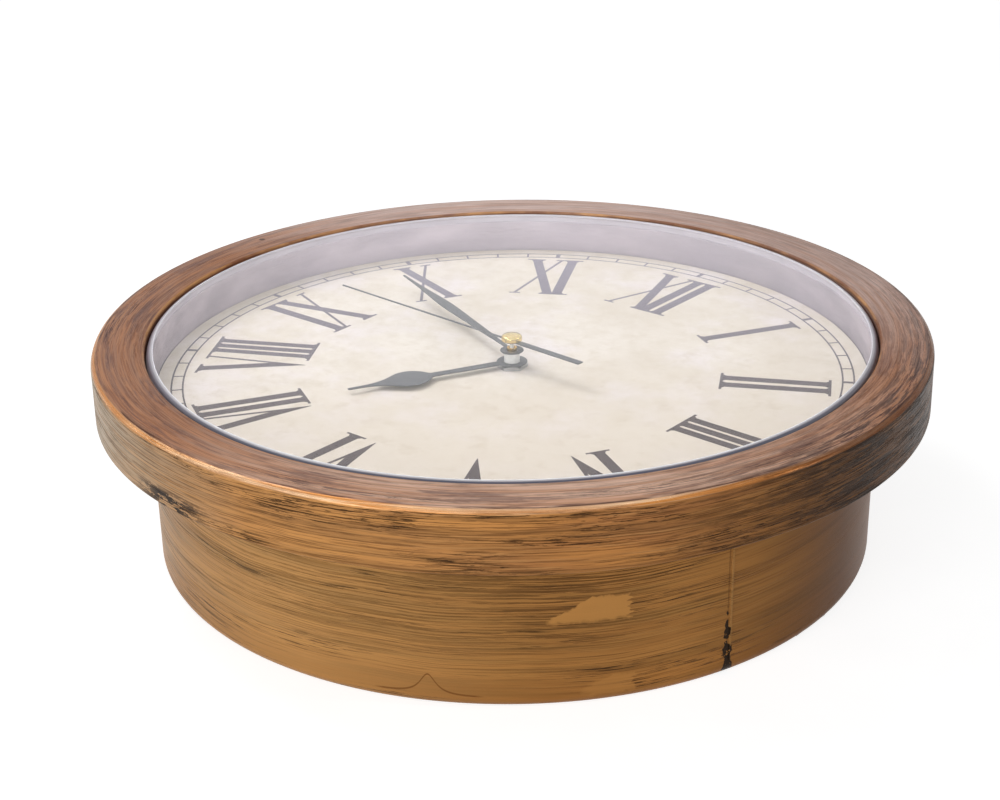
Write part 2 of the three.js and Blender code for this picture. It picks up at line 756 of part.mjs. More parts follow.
function backCover() {
  const ribOuter = wellInner - coverRibInset;
  const ribInner = ribOuter - coverRibWidth;
  const disc = turned([[0, coverBottom], [coverRadius, coverBottom], [coverRadius, coverTop],
    [ribOuter, coverTop],
    [ribOuter, dialPlateBottom], [ribInner, dialPlateBottom], [ribInner, coverTop],
      [0, coverTop]], shellSegments);
  const x = movementHalfWidth + windowGap;
  const low = coverBottom - cutOverrun;
  const high = coverTop + cutOverrun;
  const cuts = [block(-x, x, movementBottom - windowGap, movementTop + windowGap, low, high)];
  for (const place of coverScrewPlaces()) {
    cuts.push(moved(turnedDisc(coverScrewShankRadius + fitGap, low, high, screwSegments), ...place));
  }
  for (const side of [-1, 1]) {
    const hole = turnedDisc(hingeScrewShankRadius + fitGap, low, high, screwSegments);
    cuts.push(moved(hole, doorLeafScrewX, side * hingeDoorScrewOffset));
  }
  return shaped(disc, [], cuts);
}
piece("back_cover", backCover(), darkPlastic);

coverScrewPlaces().forEach(([x, y], index) => {
  const length = coverThickness + coverScrewBite;
  const body = screw(coverScrewShankRadius, coverScrewHeadRadius, coverScrewHeadHeight, length);
  piece("cover_screw_" + (index + 1), moved(body, x, y, coverBottom), steel);
});

// Wheels: a toothed disc has a point at each tip and each root
function pitchRadius(teeth, module) {
  return (teeth * module) / 2;
}

function tipRadius(teeth, module) {
  return pitchRadius(teeth, module) + addendumShare * module;
}

function toothed(teeth, module, low, high, bore, phase) {
  const tip = tipRadius(teeth, module);
  const root = pitchRadius(teeth, module) - dedendumShare * module;
  const points = [];
  for (let i = 0; i < 2 * teeth; i++) {
    const angle = phase + (i * Math.PI) / teeth;
    const radius = i % 2 === 0 ? tip : root;
    points.push([radius * Math.cos(angle), radius * Math.sin(angle)]);
  }
  const outline = polygon(points);
  if (bore > 0) outline.holes.push(circleHole(0, 0, bore));
  return prism(outline, low, high, screwSegments);
}

// Phase of a wheel whose gap faces a tooth of its neighbour in the given direction
function meshPhase(teeth, direction, neighbourTeeth, neighbourPhase) {
  const pitch = (2 * Math.PI) / neighbourTeeth;
  const offset = (((direction - neighbourPhase) % pitch) + pitch) % pitch;
  return direction + Math.PI + Math.PI / teeth + (offset * neighbourTeeth) / teeth;
}

function centre(from, distance, direction) {
  return [from[0] + distance * Math.cos(direction), from[1] + distance * Math.sin(direction)];
}

const trainDistance = pitchRadius(thirdWheelTeeth, trainModule) + pitchRadius(secondPinionTeeth, trainModule);
const centreModule = (2 * trainDistance) / (centreWheelTeeth + thirdPinionTeeth);
const motionDistance = pitchRadius(motionWheelTeeth, motionModule) + pitchRadius(cannonPinionTeeth,
  motionModule);
const hourModule = (2 * motionDistance) / (hourWheelTeeth + motionPinionTeeth);
const setDistance = pitchRadius(motionWheelTeeth, motionModule) + pitchRadius(setPinionTeeth, motionModule);
const fifthDistance = pitchRadius(secondWheelTeeth, secondModule) + pitchRadius(fifthPinionTeeth,
  secondModule);
const rotorDistance = pitchRadius(fifthWheelTeeth, rotorModule) + pitchRadius(rotorPinionTeeth, rotorModule);

const motionCentre = centre([0, 0], motionDistance, motionDirection);
const setCentre = centre(motionCentre, setDistance, setDirection);
const thirdCentre = centre([0, 0], trainDistance, thirdDirection);
const fifthCentre = centre([0, 0], fifthDistance, fifthDirection);
const rotorCentre = centre(fifthCentre, rotorDistance, rotorDirection);

// Levels inside the movement, from the front plate backwards
const frontInner = dialPlateBottom - movementWall;
const coverInner = movementBack + movementWall;
const bushBottom = frontInner - bushFlangeThickness;
const hourWheelTop = bushBottom - wheelGap;
const hourWheelBottom = hourWheelTop - wheelThickness;
const cannonTop = hourWheelBottom - wheelGap;
const motionWheelTop = cannonTop - pinionLip;
const motionWheelBottom = motionWheelTop - wheelThickness;
const centreWheelTop = motionWheelBottom - wheelGap;
const centreWheelBottom = centreWheelTop - wheelThickness;
const clutchCollarTop = centreWheelBottom - runningGap;
const clutchCollarBottom = clutchCollarTop - clutchCollarThickness;
const middlePlateTop = clutchCollarBottom - wheelGap;
const middlePlateBottom = middlePlateTop - middlePlateThickness;
const thirdWheelTop = middlePlateBottom - wheelGap;
const thirdWheelBottom = thirdWheelTop - wheelThickness;
const secondWheelTop = thirdWheelBottom - wheelGap;
const secondWheelBottom = secondWheelTop - wheelThickness;
const fifthWheelTop = secondWheelBottom - wheelGap;
const fifthWheelBottom = fifthWheelTop - wheelThickness;

// Movement housing: a box open at the back, with a bay for the battery under the train
function movementHousing() {
  const x = movementHalfWidth;
  const innerX = x - movementWall;
  const box = block(-x, x, movementBottom, movementTop, movementBack, dialPlateBottom);
  const partition = -trainRoomBelow - partitionWall;
  const train = block(-innerX, innerX, -trainRoomBelow, trainRoomAbove, movementBack - cutOverrun,
    frontInner);
  const bay = block(-innerX, innerX, bayBottom, partition, movementBack - cutOverrun, frontInner);
  const coverSeat = block(-x - cutOverrun, x + cutOverrun, partition, movementTop + cutOverrun,
    movementBack - cutOverrun, coverInner);
  const bore = turnedDisc(bushRadius + fitGap, frontInner - cutOverrun, dialPlateBottom + cutOverrun);
  let solid = toSolid(shaped(box, [], [train, bay, coverSeat, bore]));
  const stud = turnedDisc(studRadius, motionWheelBottom - pinionLip, frontInner + movementWall / 2,
    screwSegments);
  solid = solid.add(toSolid(moved(stud, ...motionCentre)));
  for (const [px, py] of boardPosts()) {
    const post = turnedDisc(boardPostRadius, boardTop, frontInner + movementWall / 2, screwSegments);
    solid = solid.add(toSolid(moved(post, px, py)));
  }
  return toGeometry(solid);
}

// Circuit board in the upper left corner, carried by two posts
const boardTop = frontInner - boardDrop;
const boardLeft = -(movementHalfWidth - movementWall - fitGap);
const boardHigh = trainRoomAbove - fitGap;
function boardPosts() {
  const y = boardHigh - 2 * boardPostRadius;
  return [[boardLeft + 2 * boardPostRadius, y], [boardLeft + boardWidth - 2 * boardPostRadius, y]];
}
piece("movement_housing", movementHousing(), darkPlastic);
piece("circuit_board", block(boardLeft, boardLeft + boardWidth, boardHigh - boardDepth, boardHigh,
  boardTop - boardThickness, boardTop), boardGreen);

function movementCover() {
  const outline = polygon([[-movementHalfWidth, -trainRoomBelow - partitionWall],
    [movementHalfWidth, -trainRoomBelow - partitionWall], [movementHalfWidth, movementTop],
    [-movementHalfWidth, movementTop]]);
  outline.holes.push(circleHole(...setCentre, setArborRadius + fitGap));
  return prism(outline, movementBack, coverInner, screwSegments);
}
piece("movement_cover", movementCover(), darkPlastic);

// Middle plate on three pillars: it carries the rear pivots and the stator
const thirdTip = tipRadius(thirdWheelTeeth, trainModule);
const plateLeft = thirdCentre[0] - thirdTip;
const plateRight = rotorCentre[0] + statorHalfWidth - statorAirGap;
const plateHalfHeight = thirdTip;
function middlePlate() {
  const outline = polygon([[plateLeft, -plateHalfHeight], [plateRight, -plateHalfHeight],
    [plateRight, plateHalfHeight], [plateLeft, plateHalfHeight]]);
  const pinionRoom = tipRadius(secondPinionTeeth, trainModule) + fitGap;
  outline.holes.push(circleHole(0, 0, pinionRoom));
  outline.holes.push(circleHole(...thirdCentre, pinionRoom));
  const plate = prism(outline, middlePlateBottom, middlePlateTop, screwSegments);
  const inset = middlePlatePillarRadius + fitGap;
  const places = [[plateLeft + inset, plateHalfHeight - inset], [plateLeft + inset, inset - plateHalfHeight],
    [plateRight - inset, inset - plateHalfHeight]];
  const pillars = places.map(([x, y]) =>
    moved(turnedDisc(middlePlatePillarRadius, middlePlateTop - middlePlateThickness / 2, frontInner,
      screwSegments),
      x, y));
  return shaped(plate, pillars);
}
piece("middle_plate", middlePlate(), whitePlastic);

// Stator and coil: the steel plate round the rotor magnet reaches both ends of the coil's core
const statorTop = middlePlateBottom;
const statorBottom = statorTop - statorThickness;
const coilCentreX = rotorCentre[0] + statorHalfWidth + fitGap + coilFlangeRadius;
const coilLow = rotorCentre[1] - coilLength / 2;
const coilHigh = rotorCentre[1] + coilLength / 2;
function statorPlate() {
  const left = rotorCentre[0] - statorHalfWidth;
  const right = rotorCentre[0] + statorHalfWidth;
  const tabEnd = coilCentreX + coilCoreWidth / 2;
  const low = coilLow - fitGap - statorTabWidth;
  const high = coilHigh + fitGap + statorTabWidth;
  const outline = polygon([[left, low], [tabEnd, low], [tabEnd, low + statorTabWidth],
    [right, low + statorTabWidth],
    [right, high - statorTabWidth], [tabEnd, high - statorTabWidth], [tabEnd, high], [left, high]]);
  outline.holes.push(circleHole(...rotorCentre, rotorMagnetRadius + statorAirGap));
  return prism(outline, statorBottom, statorTop, smallSegments);
}
piece("stator_plate", statorPlate(), steel);

function coil() {
  const half = coilLength / 2;
  const spool = turned([[0, -half], [coilFlangeRadius, -half], [coilFlangeRadius, coilFlangeThickness - half],
    [coilWindingRadius, coilFlangeThickness - half], [coilWindingRadius, half - coilFlangeThickness],
    [coilFlangeRadius, half - coilFlangeThickness], [coilFlangeRadius, half], [0, half]]);
  const axisZ = statorBottom - coilCoreThickness / 2;
  moved(spool.rotateX(Math.PI / 2), coilCentreX, rotorCentre[1], axisZ);
  const core = block(coilCentreX - coilCoreWidth / 2, coilCentreX + coilCoreWidth / 2,
    coilLow - fitGap - statorTabWidth, coilHigh + fitGap + statorTabWidth, statorBottom - coilCoreThickness,
    statorBottom);
  return shaped(spool, [core]);
}
piece("coil", coil(), copperWire);

// Battery and its two contacts
const bayHalf = movementHalfWidth - movementWall;
const batteryZ = frontInner - fitGap - batteryDiameter / 2;
const nubEnd = bayHalf - contactThickness - fitGap;
function battery() {
  const radius = batteryDiameter / 2;
  const shoulder = nubEnd - batteryNubHeight;
  const flat = nubEnd - batteryLength;
  const can = turned([[0, flat], [radius - batteryEdgeRadius, flat], [radius, flat + batteryEdgeRadius],
    [radius, shoulder - batteryEdgeRadius], [radius - batteryEdgeRadius, shoulder],
      [batteryNubRadius, shoulder],
    [batteryNubRadius, nubEnd], [0, nubEnd]]);
  return moved(can.rotateY(Math.PI / 2), 0, batteryY, batteryZ);
}
piece("battery", battery(), batteryWrap);

function contactPlate(inner) {
  const half = contactSize / 2;
  return block(inner, inner + contactThickness, batteryY - half, batteryY + half, batteryZ - half,
    batteryZ + half);
}
piece("contact_positive", contactPlate(bayHalf - contactThickness), steel);

// The negative contact ends in a short conical spring against the flat end of the battery
class ConicalHelix extends THREE.Curve {
  constructor(start, end, startRadius, endRadius, turns) {
    super();
    Object.assign(this, { start, end, startRadius, endRadius, turns });
  }
  getPoint(t, target = new THREE.Vector3()) {
    const angle = 2 * Math.PI * this.turns * t;
    const radius = this.startRadius + (this.endRadius - this.startRadius) * t;
    const x = this.start + (this.end - this.start) * t;
    return target.set(x, batteryY + radius * Math.cos(angle), batteryZ + radius * Math.sin(angle));
  }
}

function negativeContact() {
  const plateFace = contactThickness - bayHalf;
  const springEnd = nubEnd - batteryLength - fitGap - springWire / 2;
  const path = new ConicalHelix(plateFace, springEnd, springOuterRadius, springInnerRadius, springTurns);
  const corners = [];
  for (let i = 0; i < springSides; i++) {
    const angle = (i * 2 * Math.PI) / springSides;
    corners.push([(springWire / 2) * Math.cos(angle), (springWire / 2) * Math.sin(angle)]);
  }
  const wire = polygon(corners);
  const settings = { steps: springTurns * springStepsPerTurn, bevelEnabled: false, extrudePath: path };
  return shaped(contactPlate(-bayHalf), [new THREE.ExtrudeGeometry(wire, settings)]);
}
piece("contact_negative", negativeContact(), steel);

// Threaded bush through the dial, and the hexagon nut that holds the movement
function dialBush() {
  const bore = hourPipeRadius + runningGap;
  const top = dialFace + nutThickness + bushProud;
  return turned([[bore, bushBottom], [bushFlangeRadius, bushBottom], [bushFlangeRadius, frontInner],
    [bushRadius, frontInner], [bushRadius, top], [bore, top], [bore, bushBottom]]);
}
piece("dial_bush", dialBush(), brassMetal);

function dialNut() {
  const corners = [];
  for (let i = 0; i < nutSides; i++) {
    const angle = nutAngle + (i * 2 * Math.PI) / nutSides;
    corners.push([nutCornerRadius * Math.cos(angle), nutCornerRadius * Math.sin(angle)]);
  }
  const outline = polygon(corners);
  outline.holes.push(circleHole(0, 0, bushRadius + nutThreadGap));
  return prism(outline, dialFace, dialFace + nutThickness);
}
piece("dial_nut", dialNut(), steel);

// Hands: half outlines in shares become closed shapes along +X, then turn to their places
function handShape(shares, length, halfWidth, discRadius, tail = []) {
  const upper = shares.map(([along, across]) => [along * length, across * halfWidth]);
  const start = Math.sqrt(discRadius ** 2 - upper[0][1] ** 2);
  const outline = upper.filter(([x]) => x > start);
  const startAngle = Math.atan2(upper[0][1], start);
  const disc = [];
  const steps = smallSegments;
  const tailAngle = tail.length ? Math.asin(tail[0][1] / discRadius) : 0;
  const half = Math.PI - tailAngle;
  for (let i = 0; i <= steps / 2; i++) {
    const angle = startAngle + ((half - startAngle) * i) / (steps / 2);
    disc.push([discRadius * Math.cos(angle), discRadius * Math.sin(angle)]);
  }
  const side = [...outline.reverse(), ...disc, ...tail];
  const other = side.map(([x, y]) => [x, -y]).reverse();
  const closed = tail.length ? [...side, ...other] : [...side, ...other.slice(1)];
  return polygon(closed);
}

function hand(shape, hole, rise, angle) {
  shape.holes.push(circleHole(0, 0, hole));
  const bottom = dialFace + rise;
  return prism(shape, bottom, bottom + handThickness, smallSegments).rotateZ(angle);
}

const hourShape = handShape(hourOutlineShares, hourHandLength, hourHandLeafHalfWidth, hourHandDiscRadius);
piece("hour_hand", hand(hourShape, hourPipeRadius + runningGap, hourHandRise, hourHandAngle), darkPaint);

const minuteShape = handShape(minuteOutlineShares, minuteHandLength, minuteHandLeafHalfWidth,
  minuteHandDiscRadius);
piece("minute_hand", hand(minuteShape, minutePipeRadius + runningGap, minuteHandRise, minuteHandAngle),
  darkPaint);

const secondTail = [[-secondHandDiscRadius, secondHandTailHalfWidth],
  [-secondHandTail, secondHandTailHalfWidth]];
const secondShape = handShape(secondOutlineShares, secondHandLength, secondHandHalfWidth,
  secondHandDiscRadius,
  secondTail);
piece("second_hand", hand(secondShape, secondArborRadius + runningGap, secondHandRise, secondHandAngle),
  darkPaint);

function secondCap() {
  const seat = dialFace + secondHandRise + handThickness;
  const bore = secondArborRadius + runningGap;
  const boreTop = dialFace + secondArborRise + fitGap;
  const rim = seat + secondCapRimHeight;
  const dome = [];
  for (let i = 0; i <= arcSteps; i++) {
    const angle = (i * Math.PI) / 2 / arcSteps;
    dome.push([secondCapRadius * Math.cos(angle),
      rim + (secondCapHeight - secondCapRimHeight) * Math.sin(angle)]);
  }
  dome[arcSteps][0] = 0;
  return turned([[0, boreTop], [bore, boreTop], [bore, seat], [secondCapRadius, seat], ...dome]);
}
piece("second_cap", secondCap(), brassMetal);

// Phases that bring every pair of wheels into mesh at rest
const cannonPhase = 0;
const motionPhase = meshPhase(motionWheelTeeth, motionDirection, cannonPinionTeeth, cannonPhase);
const hourPhase = meshPhase(hourWheelTeeth, motionDirection + Math.PI, motionPinionTeeth, motionPhase);
const setPhase = meshPhase(setPinionTeeth, setDirection, motionWheelTeeth, motionPhase);
const thirdPhase = 0;
const centrePhase = meshPhase(centreWheelTeeth, thirdDirection + Math.PI, thirdPinionTeeth, thirdPhase);
const secondPinionPhase = meshPhase(secondPinionTeeth, thirdDirection + Math.PI, thirdWheelTeeth, thirdPhase);
const secondPhase = 0;
const fifthPinionPhase = meshPhase(fifthPinionTeeth, fifthDirection, secondWheelTeeth, secondPhase);
const fifthPhase = 0;
const rotorPhase = meshPhase(rotorPinionTeeth, rotorDirection, fifthWheelTeeth, fifthPhase);

// Centre wheel: it grips the minute pipe between the cannon pinion and a collar.
// It slips there when the hands are set.
const centreWheel = toothed(centreWheelTeeth, centreModule, centreWheelBottom, centreWheelTop,
  minutePipeRadius + runningGap, centrePhase);
piece("centre_wheel", centreWheel, whitePlastic);

function minutePipe() {
  const bore = minutePipeRadius - minutePipeWall;
  const pinion = toothed(cannonPinionTeeth, motionModule, centreWheelTop + runningGap, cannonTop, bore,
    cannonPhase);
  const stem = turned([[bore, clutchCollarBottom], [clutchCollarRadius, clutchCollarBottom],
    [clutchCollarRadius, clutchCollarTop], [minutePipeRadius, clutchCollarTop],
    [minutePipeRadius, dialFace + minutePipeRise], [bore, dialFace + minutePipeRise],
      [bore, clutchCollarBottom]]);
  return shaped(stem, [pinion]);
}
piece("minute_pipe", minutePipe(), brassMetal);

function hourWheel() {
  const bore = hourPipeRadius - hourPipeWall;
  const wheel = toothed(hourWheelTeeth, hourModule, hourWheelBottom, hourWheelTop, bore, hourPhase);
  const stem = turnedRing(bore, hourPipeRadius, hourWheelTop - wheelThickness / 2, dialFace + hourPipeRise);
  return shaped(wheel, [stem]);
}
piece("hour_wheel", hourWheel(), whitePlastic);

function motionWheel() {
  const bore = studRadius + runningGap;
  const wheel = toothed(motionWheelTeeth, motionModule, motionWheelBottom, motionWheelTop, bore, motionPhase);
  const pinion = toothed(motionPinionTeeth, hourModule, motionWheelTop - wheelThickness / 2,
    hourWheelTop + pinionLip / 2, bore, motionPhase);
  return moved(shaped(wheel, [pinion]), ...motionCentre);
}
piece("motion_wheel", motionWheel(), whitePlastic);

// Setting knob: its arbor comes through the movement cover
function setKnob() {
  const knobTop = movementBack - fitGap;
  const knobBottom = knobTop - setKnobHeight;
  const pinion = toothed(setPinionTeeth, motionModule, motionWheelBottom - pinionLip,
    motionWheelTop + pinionLip, 0,
    setPhase);
  const arbor = turnedDisc(setArborRadius, knobTop - setKnobHeight / 2, frontInner - fitGap, screwSegments);
  const disc = turnedDisc(setKnobRadius, knobBottom, knobTop);
  const flutes = [];
  for (let i = 0; i < setKnobFluteCount; i++) {
    const angle = (i * 2 * Math.PI) / setKnobFluteCount;
    const flute = turnedDisc(setKnobFluteRadius, knobBottom - cutOverrun, knobTop + cutOverrun,
      fluteSegments);
    flutes.push(moved(flute, setKnobRadius * Math.cos(angle), setKnobRadius * Math.sin(angle)));
  }
  const knob = toSolid(shaped(disc, [], flutes)).add(toSolid(shaped(arbor, [pinion])));
  return moved(toGeometry(knob), ...setCentre);
}
piece("set_knob", setKnob(), whitePlastic);

// Going train, from the seconds arbor to the rotor
function wheelOnArbor(wheelParts, radius, low, high) {
  const arbor = turnedDisc(radius, low, high, screwSegments);
  return shaped(arbor, wheelParts);
}

function secondsWheel() {
  const wheel = toothed(secondWheelTeeth, secondModule, secondWheelBottom, secondWheelTop, 0, secondPhase);
  const pinion = toothed(secondPinionTeeth, trainModule, secondWheelTop - wheelThickness / 2,
    thirdWheelTop + pinionLip / 2, 0, secondPinionPhase);
  return wheelOnArbor([wheel, pinion], secondArborRadius, coverInner + fitGap, dialFace + secondArborRise);
}
piece("seconds_wheel", secondsWheel(), whitePlastic);

function thirdWheel() {
  const wheel = toothed(thirdWheelTeeth, trainModule, thirdWheelBottom, thirdWheelTop, 0, thirdPhase);
  const pinion = toothed(thirdPinionTeeth, centreModule, thirdWheelTop - wheelThickness / 2,
    centreWheelTop + pinionLip / 2, 0, thirdPhase);
  return moved(wheelOnArbor([wheel, pinion], arborRadius, coverInner + fitGap, frontInner - fitGap),
    ...thirdCentre);
}
piece("third_wheel", thirdWheel(), whitePlastic);

function fifthWheel() {
  const wheel = toothed(fifthWheelTeeth, rotorModule, fifthWheelBottom, fifthWheelTop, 0, fifthPhase);
  const pinion = toothed(fifthPinionTeeth, secondModule, fifthWheelTop - wheelThickness / 2,
    secondWheelTop + pinionLip, 0, fifthPinionPhase);
  const top = middlePlateBottom - fitGap;
  return moved(wheelOnArbor([wheel, pinion], arborRadius, coverInner + fitGap, top), ...fifthCentre);
}
piece("fifth_wheel", fifthWheel(), whitePlastic);

function rotor() {
  const pinion = toothed(rotorPinionTeeth, rotorModule, fifthWheelBottom - pinionLip,
    fifthWheelTop + pinionLip, 0,
    rotorPhase);
  const magnetTop = middlePlateBottom - fitGap;
  const magnet = turnedDisc(rotorMagnetRadius, magnetTop - rotorMagnetHeight, magnetTop);
  return moved(wheelOnArbor([pinion, magnet], arborRadius, coverInner + fitGap, magnetTop), ...rotorCentre);
}
piece("rotor", rotor(), greyPlastic);

export default clock;
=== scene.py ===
# %% [markdown]
# # A wall clock that hides a case
#
# The clock lies on its back. A bronze bezel carries the lens, the dial and the quartz movement, and it is
# the door of a shallow round case. This lesson dresses the working model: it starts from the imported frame,
# whose solids already sit and move as they should, and gives each visible piece its real form and finish.
#
# Everything below is in millimetres until the last step of a mesh, where one factor turns it into metres.

import math
from types import SimpleNamespace

import bmesh
import bpy
import numpy as np
from mathutils import Matrix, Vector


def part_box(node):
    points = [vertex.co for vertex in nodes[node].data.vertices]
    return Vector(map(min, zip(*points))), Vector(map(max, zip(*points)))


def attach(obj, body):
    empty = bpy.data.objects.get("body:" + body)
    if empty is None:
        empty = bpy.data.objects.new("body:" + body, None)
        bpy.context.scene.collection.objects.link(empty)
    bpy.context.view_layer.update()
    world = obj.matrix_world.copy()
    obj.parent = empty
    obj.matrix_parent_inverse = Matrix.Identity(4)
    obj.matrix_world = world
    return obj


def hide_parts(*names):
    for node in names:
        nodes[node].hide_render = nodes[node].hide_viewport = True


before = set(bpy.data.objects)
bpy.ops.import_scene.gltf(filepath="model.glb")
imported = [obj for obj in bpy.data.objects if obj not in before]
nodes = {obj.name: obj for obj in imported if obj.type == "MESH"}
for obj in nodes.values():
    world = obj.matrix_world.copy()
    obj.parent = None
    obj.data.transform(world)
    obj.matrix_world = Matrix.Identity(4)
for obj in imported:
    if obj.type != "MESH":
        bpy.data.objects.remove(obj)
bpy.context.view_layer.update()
MM = 0.001


def limits(node):
    """The lowest and the highest corner of a node of the frame, in mm."""
    low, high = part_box(node)
    return np.array(low) / MM, np.array(high) / MM


# %% [markdown]
# ## Camera
#
# The photograph looks down at the clock from about 27 degrees above the table. The twelve of the dial
# points away to the upper right, because the clock is turned on the table. A camera is a point and three
# directions. The directions start from one that looks straight at the middle of the flat back, then pan,
# tilt and roll bring them to the photograph's framing. Turning the camera instead of the clock keeps the
# frame in place.

# %% Camera
FOCAL_PIXELS = 2032.92
PICTURE_WIDTH = 1000
SENSOR_WIDTH = 36.0
CAMERA_DISTANCE = 665.176
CAMERA_ELEVATION = 26.8461
CAMERA_PAN = 0.3565
CAMERA_TILT = -3.4631
CAMERA_ROLL = -0.8042
CLOCK_TURN = 39.476


def rotation(degrees, axis):
    """The 3 x 3 matrix of a turn about one axis."""
    return np.array(Matrix.Rotation(math.radians(degrees), 3, axis))


elevation = math.radians(CAMERA_ELEVATION)
stand = CAMERA_DISTANCE * np.array([0.0, -math.cos(elevation), math.sin(elevation)])
ahead = -stand / CAMERA_DISTANCE
sideways = np.array([1.0, 0.0, 0.0])
upwards = np.cross(sideways, ahead)
axes = rotation(CAMERA_ROLL, "Z") @ rotation(CAMERA_TILT, "X") @ rotation(CAMERA_PAN, "Y")
axes = axes @ np.stack([sideways, -upwards, ahead])
clock_turn = rotation(CLOCK_TURN, "Z")

camera_data = bpy.data.cameras.new("camera")
camera_data.sensor_width = SENSOR_WIDTH
camera_data.lens = FOCAL_PIXELS * SENSOR_WIDTH / PICTURE_WIDTH
camera = bpy.data.objects.new("camera", camera_data)
bpy.context.scene.collection.objects.link(camera)
placed = np.eye(4)
placed[:3, :3] = clock_turn @ np.stack([axes[0], -axes[1], -axes[2]], axis=1)
placed[:3, 3] = clock_turn @ stand * MM
camera.matrix_world = Matrix(placed.tolist())
bpy.context.scene.camera = camera
print("camera lens", round(camera_data.lens, 2), "mm at", np.round(placed[:3, 3], 3))


# %% [markdown]
# ## Making meshes
#
# Most of the clock was turned on a lathe or moulded in a turned mould. So one function carries a profile of
# (radius, height) points round an axis. It is worked out as a whole grid of points with numpy, and a second
# function joins the neighbours of any grid into quads. Poles and seams close when the doubles are merged.

# %% Grids and meshes
SAME_PLACE = 2e-7


def grid_faces(rows, columns, close_rows=False, close_columns=False):
    """Quads between neighbours in a grid: row i and i + 1, column j and j + 1, with a wrap where closed."""
    i = np.arange(rows if close_rows else rows - 1)[:, None]
    j = np.arange(columns if close_columns else columns - 1)[None, :]
    below, beyond = (i + 1) % rows, (j + 1) % columns
    corners = [i * columns + j, i * columns + beyond, below * columns + beyond, below * columns + j]
    return np.stack(np.broadcast_arrays(*corners), axis=-1).reshape(-1, 4)


def joined(*shells):
    """Several (points, faces) shells as one list of points and one list of faces."""
    points, faces, count = [], [], 0
    for shell_points, shell_faces in shells:
        points.append(shell_points)
        faces.extend((np.asarray(shell_faces) + count).tolist())
        count += len(shell_points)
    return np.concatenate(points), faces


def tidy(mesh, sharp_degrees=32):
    """Merges doubles, turns the faces outwards, and keeps edges sharper than the angle crisp."""
    shape = bmesh.new()
    shape.from_mesh(mesh)
    bmesh.ops.remove_doubles(shape, verts=shape.verts, dist=SAME_PLACE)
    bmesh.ops.recalc_face_normals(shape, faces=shape.faces)
    shape.to_mesh(mesh)
    shape.free()
    mesh.shade_smooth()
    mesh.set_sharp_from_angle(angle=math.radians(sharp_degrees))


def linked(name, shell):
    """An object in the scene from one (points, faces) shell in mm."""
    points, faces = shell
    mesh = bpy.data.meshes.new(name)
    mesh.from_pydata((np.asarray(points) * MM).tolist(), [], np.asarray(faces).tolist())
    tidy(mesh)
    shape = bpy.data.objects.new(name, mesh)
    bpy.context.scene.collection.objects.link(shape)
    return shape


def fitted(shape, body, material, replaced=(), slot=None):
    """Gives a finished piece its material and its body, and hides the nodes of the frame that it stands for.

    Its normals lean to its larger faces, so flats stay flat up to their rounded rims."""
    modifier = shape.modifiers.new("even_shading", "WEIGHTED_NORMAL")
    modifier.keep_sharp = True
    modifier.weight = 100
    shape.data.materials.clear()
    shape.data.materials.append(material)
    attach(shape, body)
    if replaced:
        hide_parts(*replaced)
    print(shape.name, len(shape.data.polygons), "faces on", body)
    return shape


# %% Turned shapes
def arc(centre_r, centre_z, radius, start, end, steps=8):
    """Points of a profile's arc: the centre plus the radius at even angles from start to end, in degrees."""
    angle = np.radians(np.linspace(start, end, steps + 1))
    return np.stack([centre_r + radius * np.cos(angle), centre_z + radius * np.sin(angle)], axis=1)


def profile_of(*parts):
    """Single points and arcs, one after the other, as one array of (radius, height)."""
    return np.concatenate([np.atleast_2d(np.asarray(part, float)) for part in parts])


def turned(profile, columns=48, centre=(0.0, 0.0), axis="Z"):
    """A closed profile carried round an axis: x = r cos a, y = r sin a, z = z, for every a and every (r, z).

    Along Y the height runs to +Y, and along X to +X, and centre gives the axis's other two coordinates."""
    angle = np.linspace(0, 2 * np.pi, columns, endpoint=False)[:, None]
    across = profile[None, :, 0] * np.cos(angle)
    along = profile[None, :, 0] * np.sin(angle)
    height = np.broadcast_to(profile[None, :, 1], across.shape)
    grid = np.stack([across + centre[0], along + centre[1], height], axis=-1).reshape(-1, 3)
    order = {"Z": [0, 1, 2], "Y": [0, 2, 1], "X": [2, 0, 1]}[axis]
    return grid[:, order], grid_faces(columns, len(profile), True, True)


def ring_profile(inner, outer, low, high, rim=0.0):
    """The profile of a ring between two radii and two heights, with small slanted rims."""
    return profile_of(
        (inner + rim, low), (outer - rim, low), (outer, low + rim), (outer, high - rim),
        (outer - rim, high), (inner + rim, high), (inner, high - rim), (inner, low + rim),
    )


def rod_profile(radius, low, high, rim=0.0):
    """The profile of a solid disc or rod on its axis, with small slanted rims."""
    return profile_of(
        (0, low), (radius - rim, low), (radius, low + rim),
        (radius, high - rim), (radius - rim, high), (0, high),
    )


def block(x, y, z):
    """A box between two values in each direction, as 8 corners and 6 faces."""
    corners = np.array([(a, b, c) for a in x for b in y for c in z], float)
    faces = [(0, 1, 3, 2), (4, 6, 7, 5), (0, 4, 5, 1), (2, 3, 7, 6), (0, 2, 6, 4), (1, 5, 7, 3)]
    return corners, faces


def carved(base, tools, operation):
    """The base with each tool joined to it ("UNION") or cut away ("DIFFERENCE"), worked into its mesh."""
    cutters = [linked("tool", tool) for tool in tools]
    for cutter in cutters:
        modifier = base.modifiers.new("carve", "BOOLEAN")
        modifier.operation = operation
        modifier.solver = "EXACT"
        modifier.object = cutter
    depsgraph = bpy.context.evaluated_depsgraph_get()
    mesh = bpy.data.meshes.new_from_object(base.evaluated_get(depsgraph))
    base.modifiers.clear()
    base.data = mesh
    for cutter in cutters:
        bpy.data.objects.remove(cutter)
    tidy(mesh)
    return base


print("mesh helpers ready")


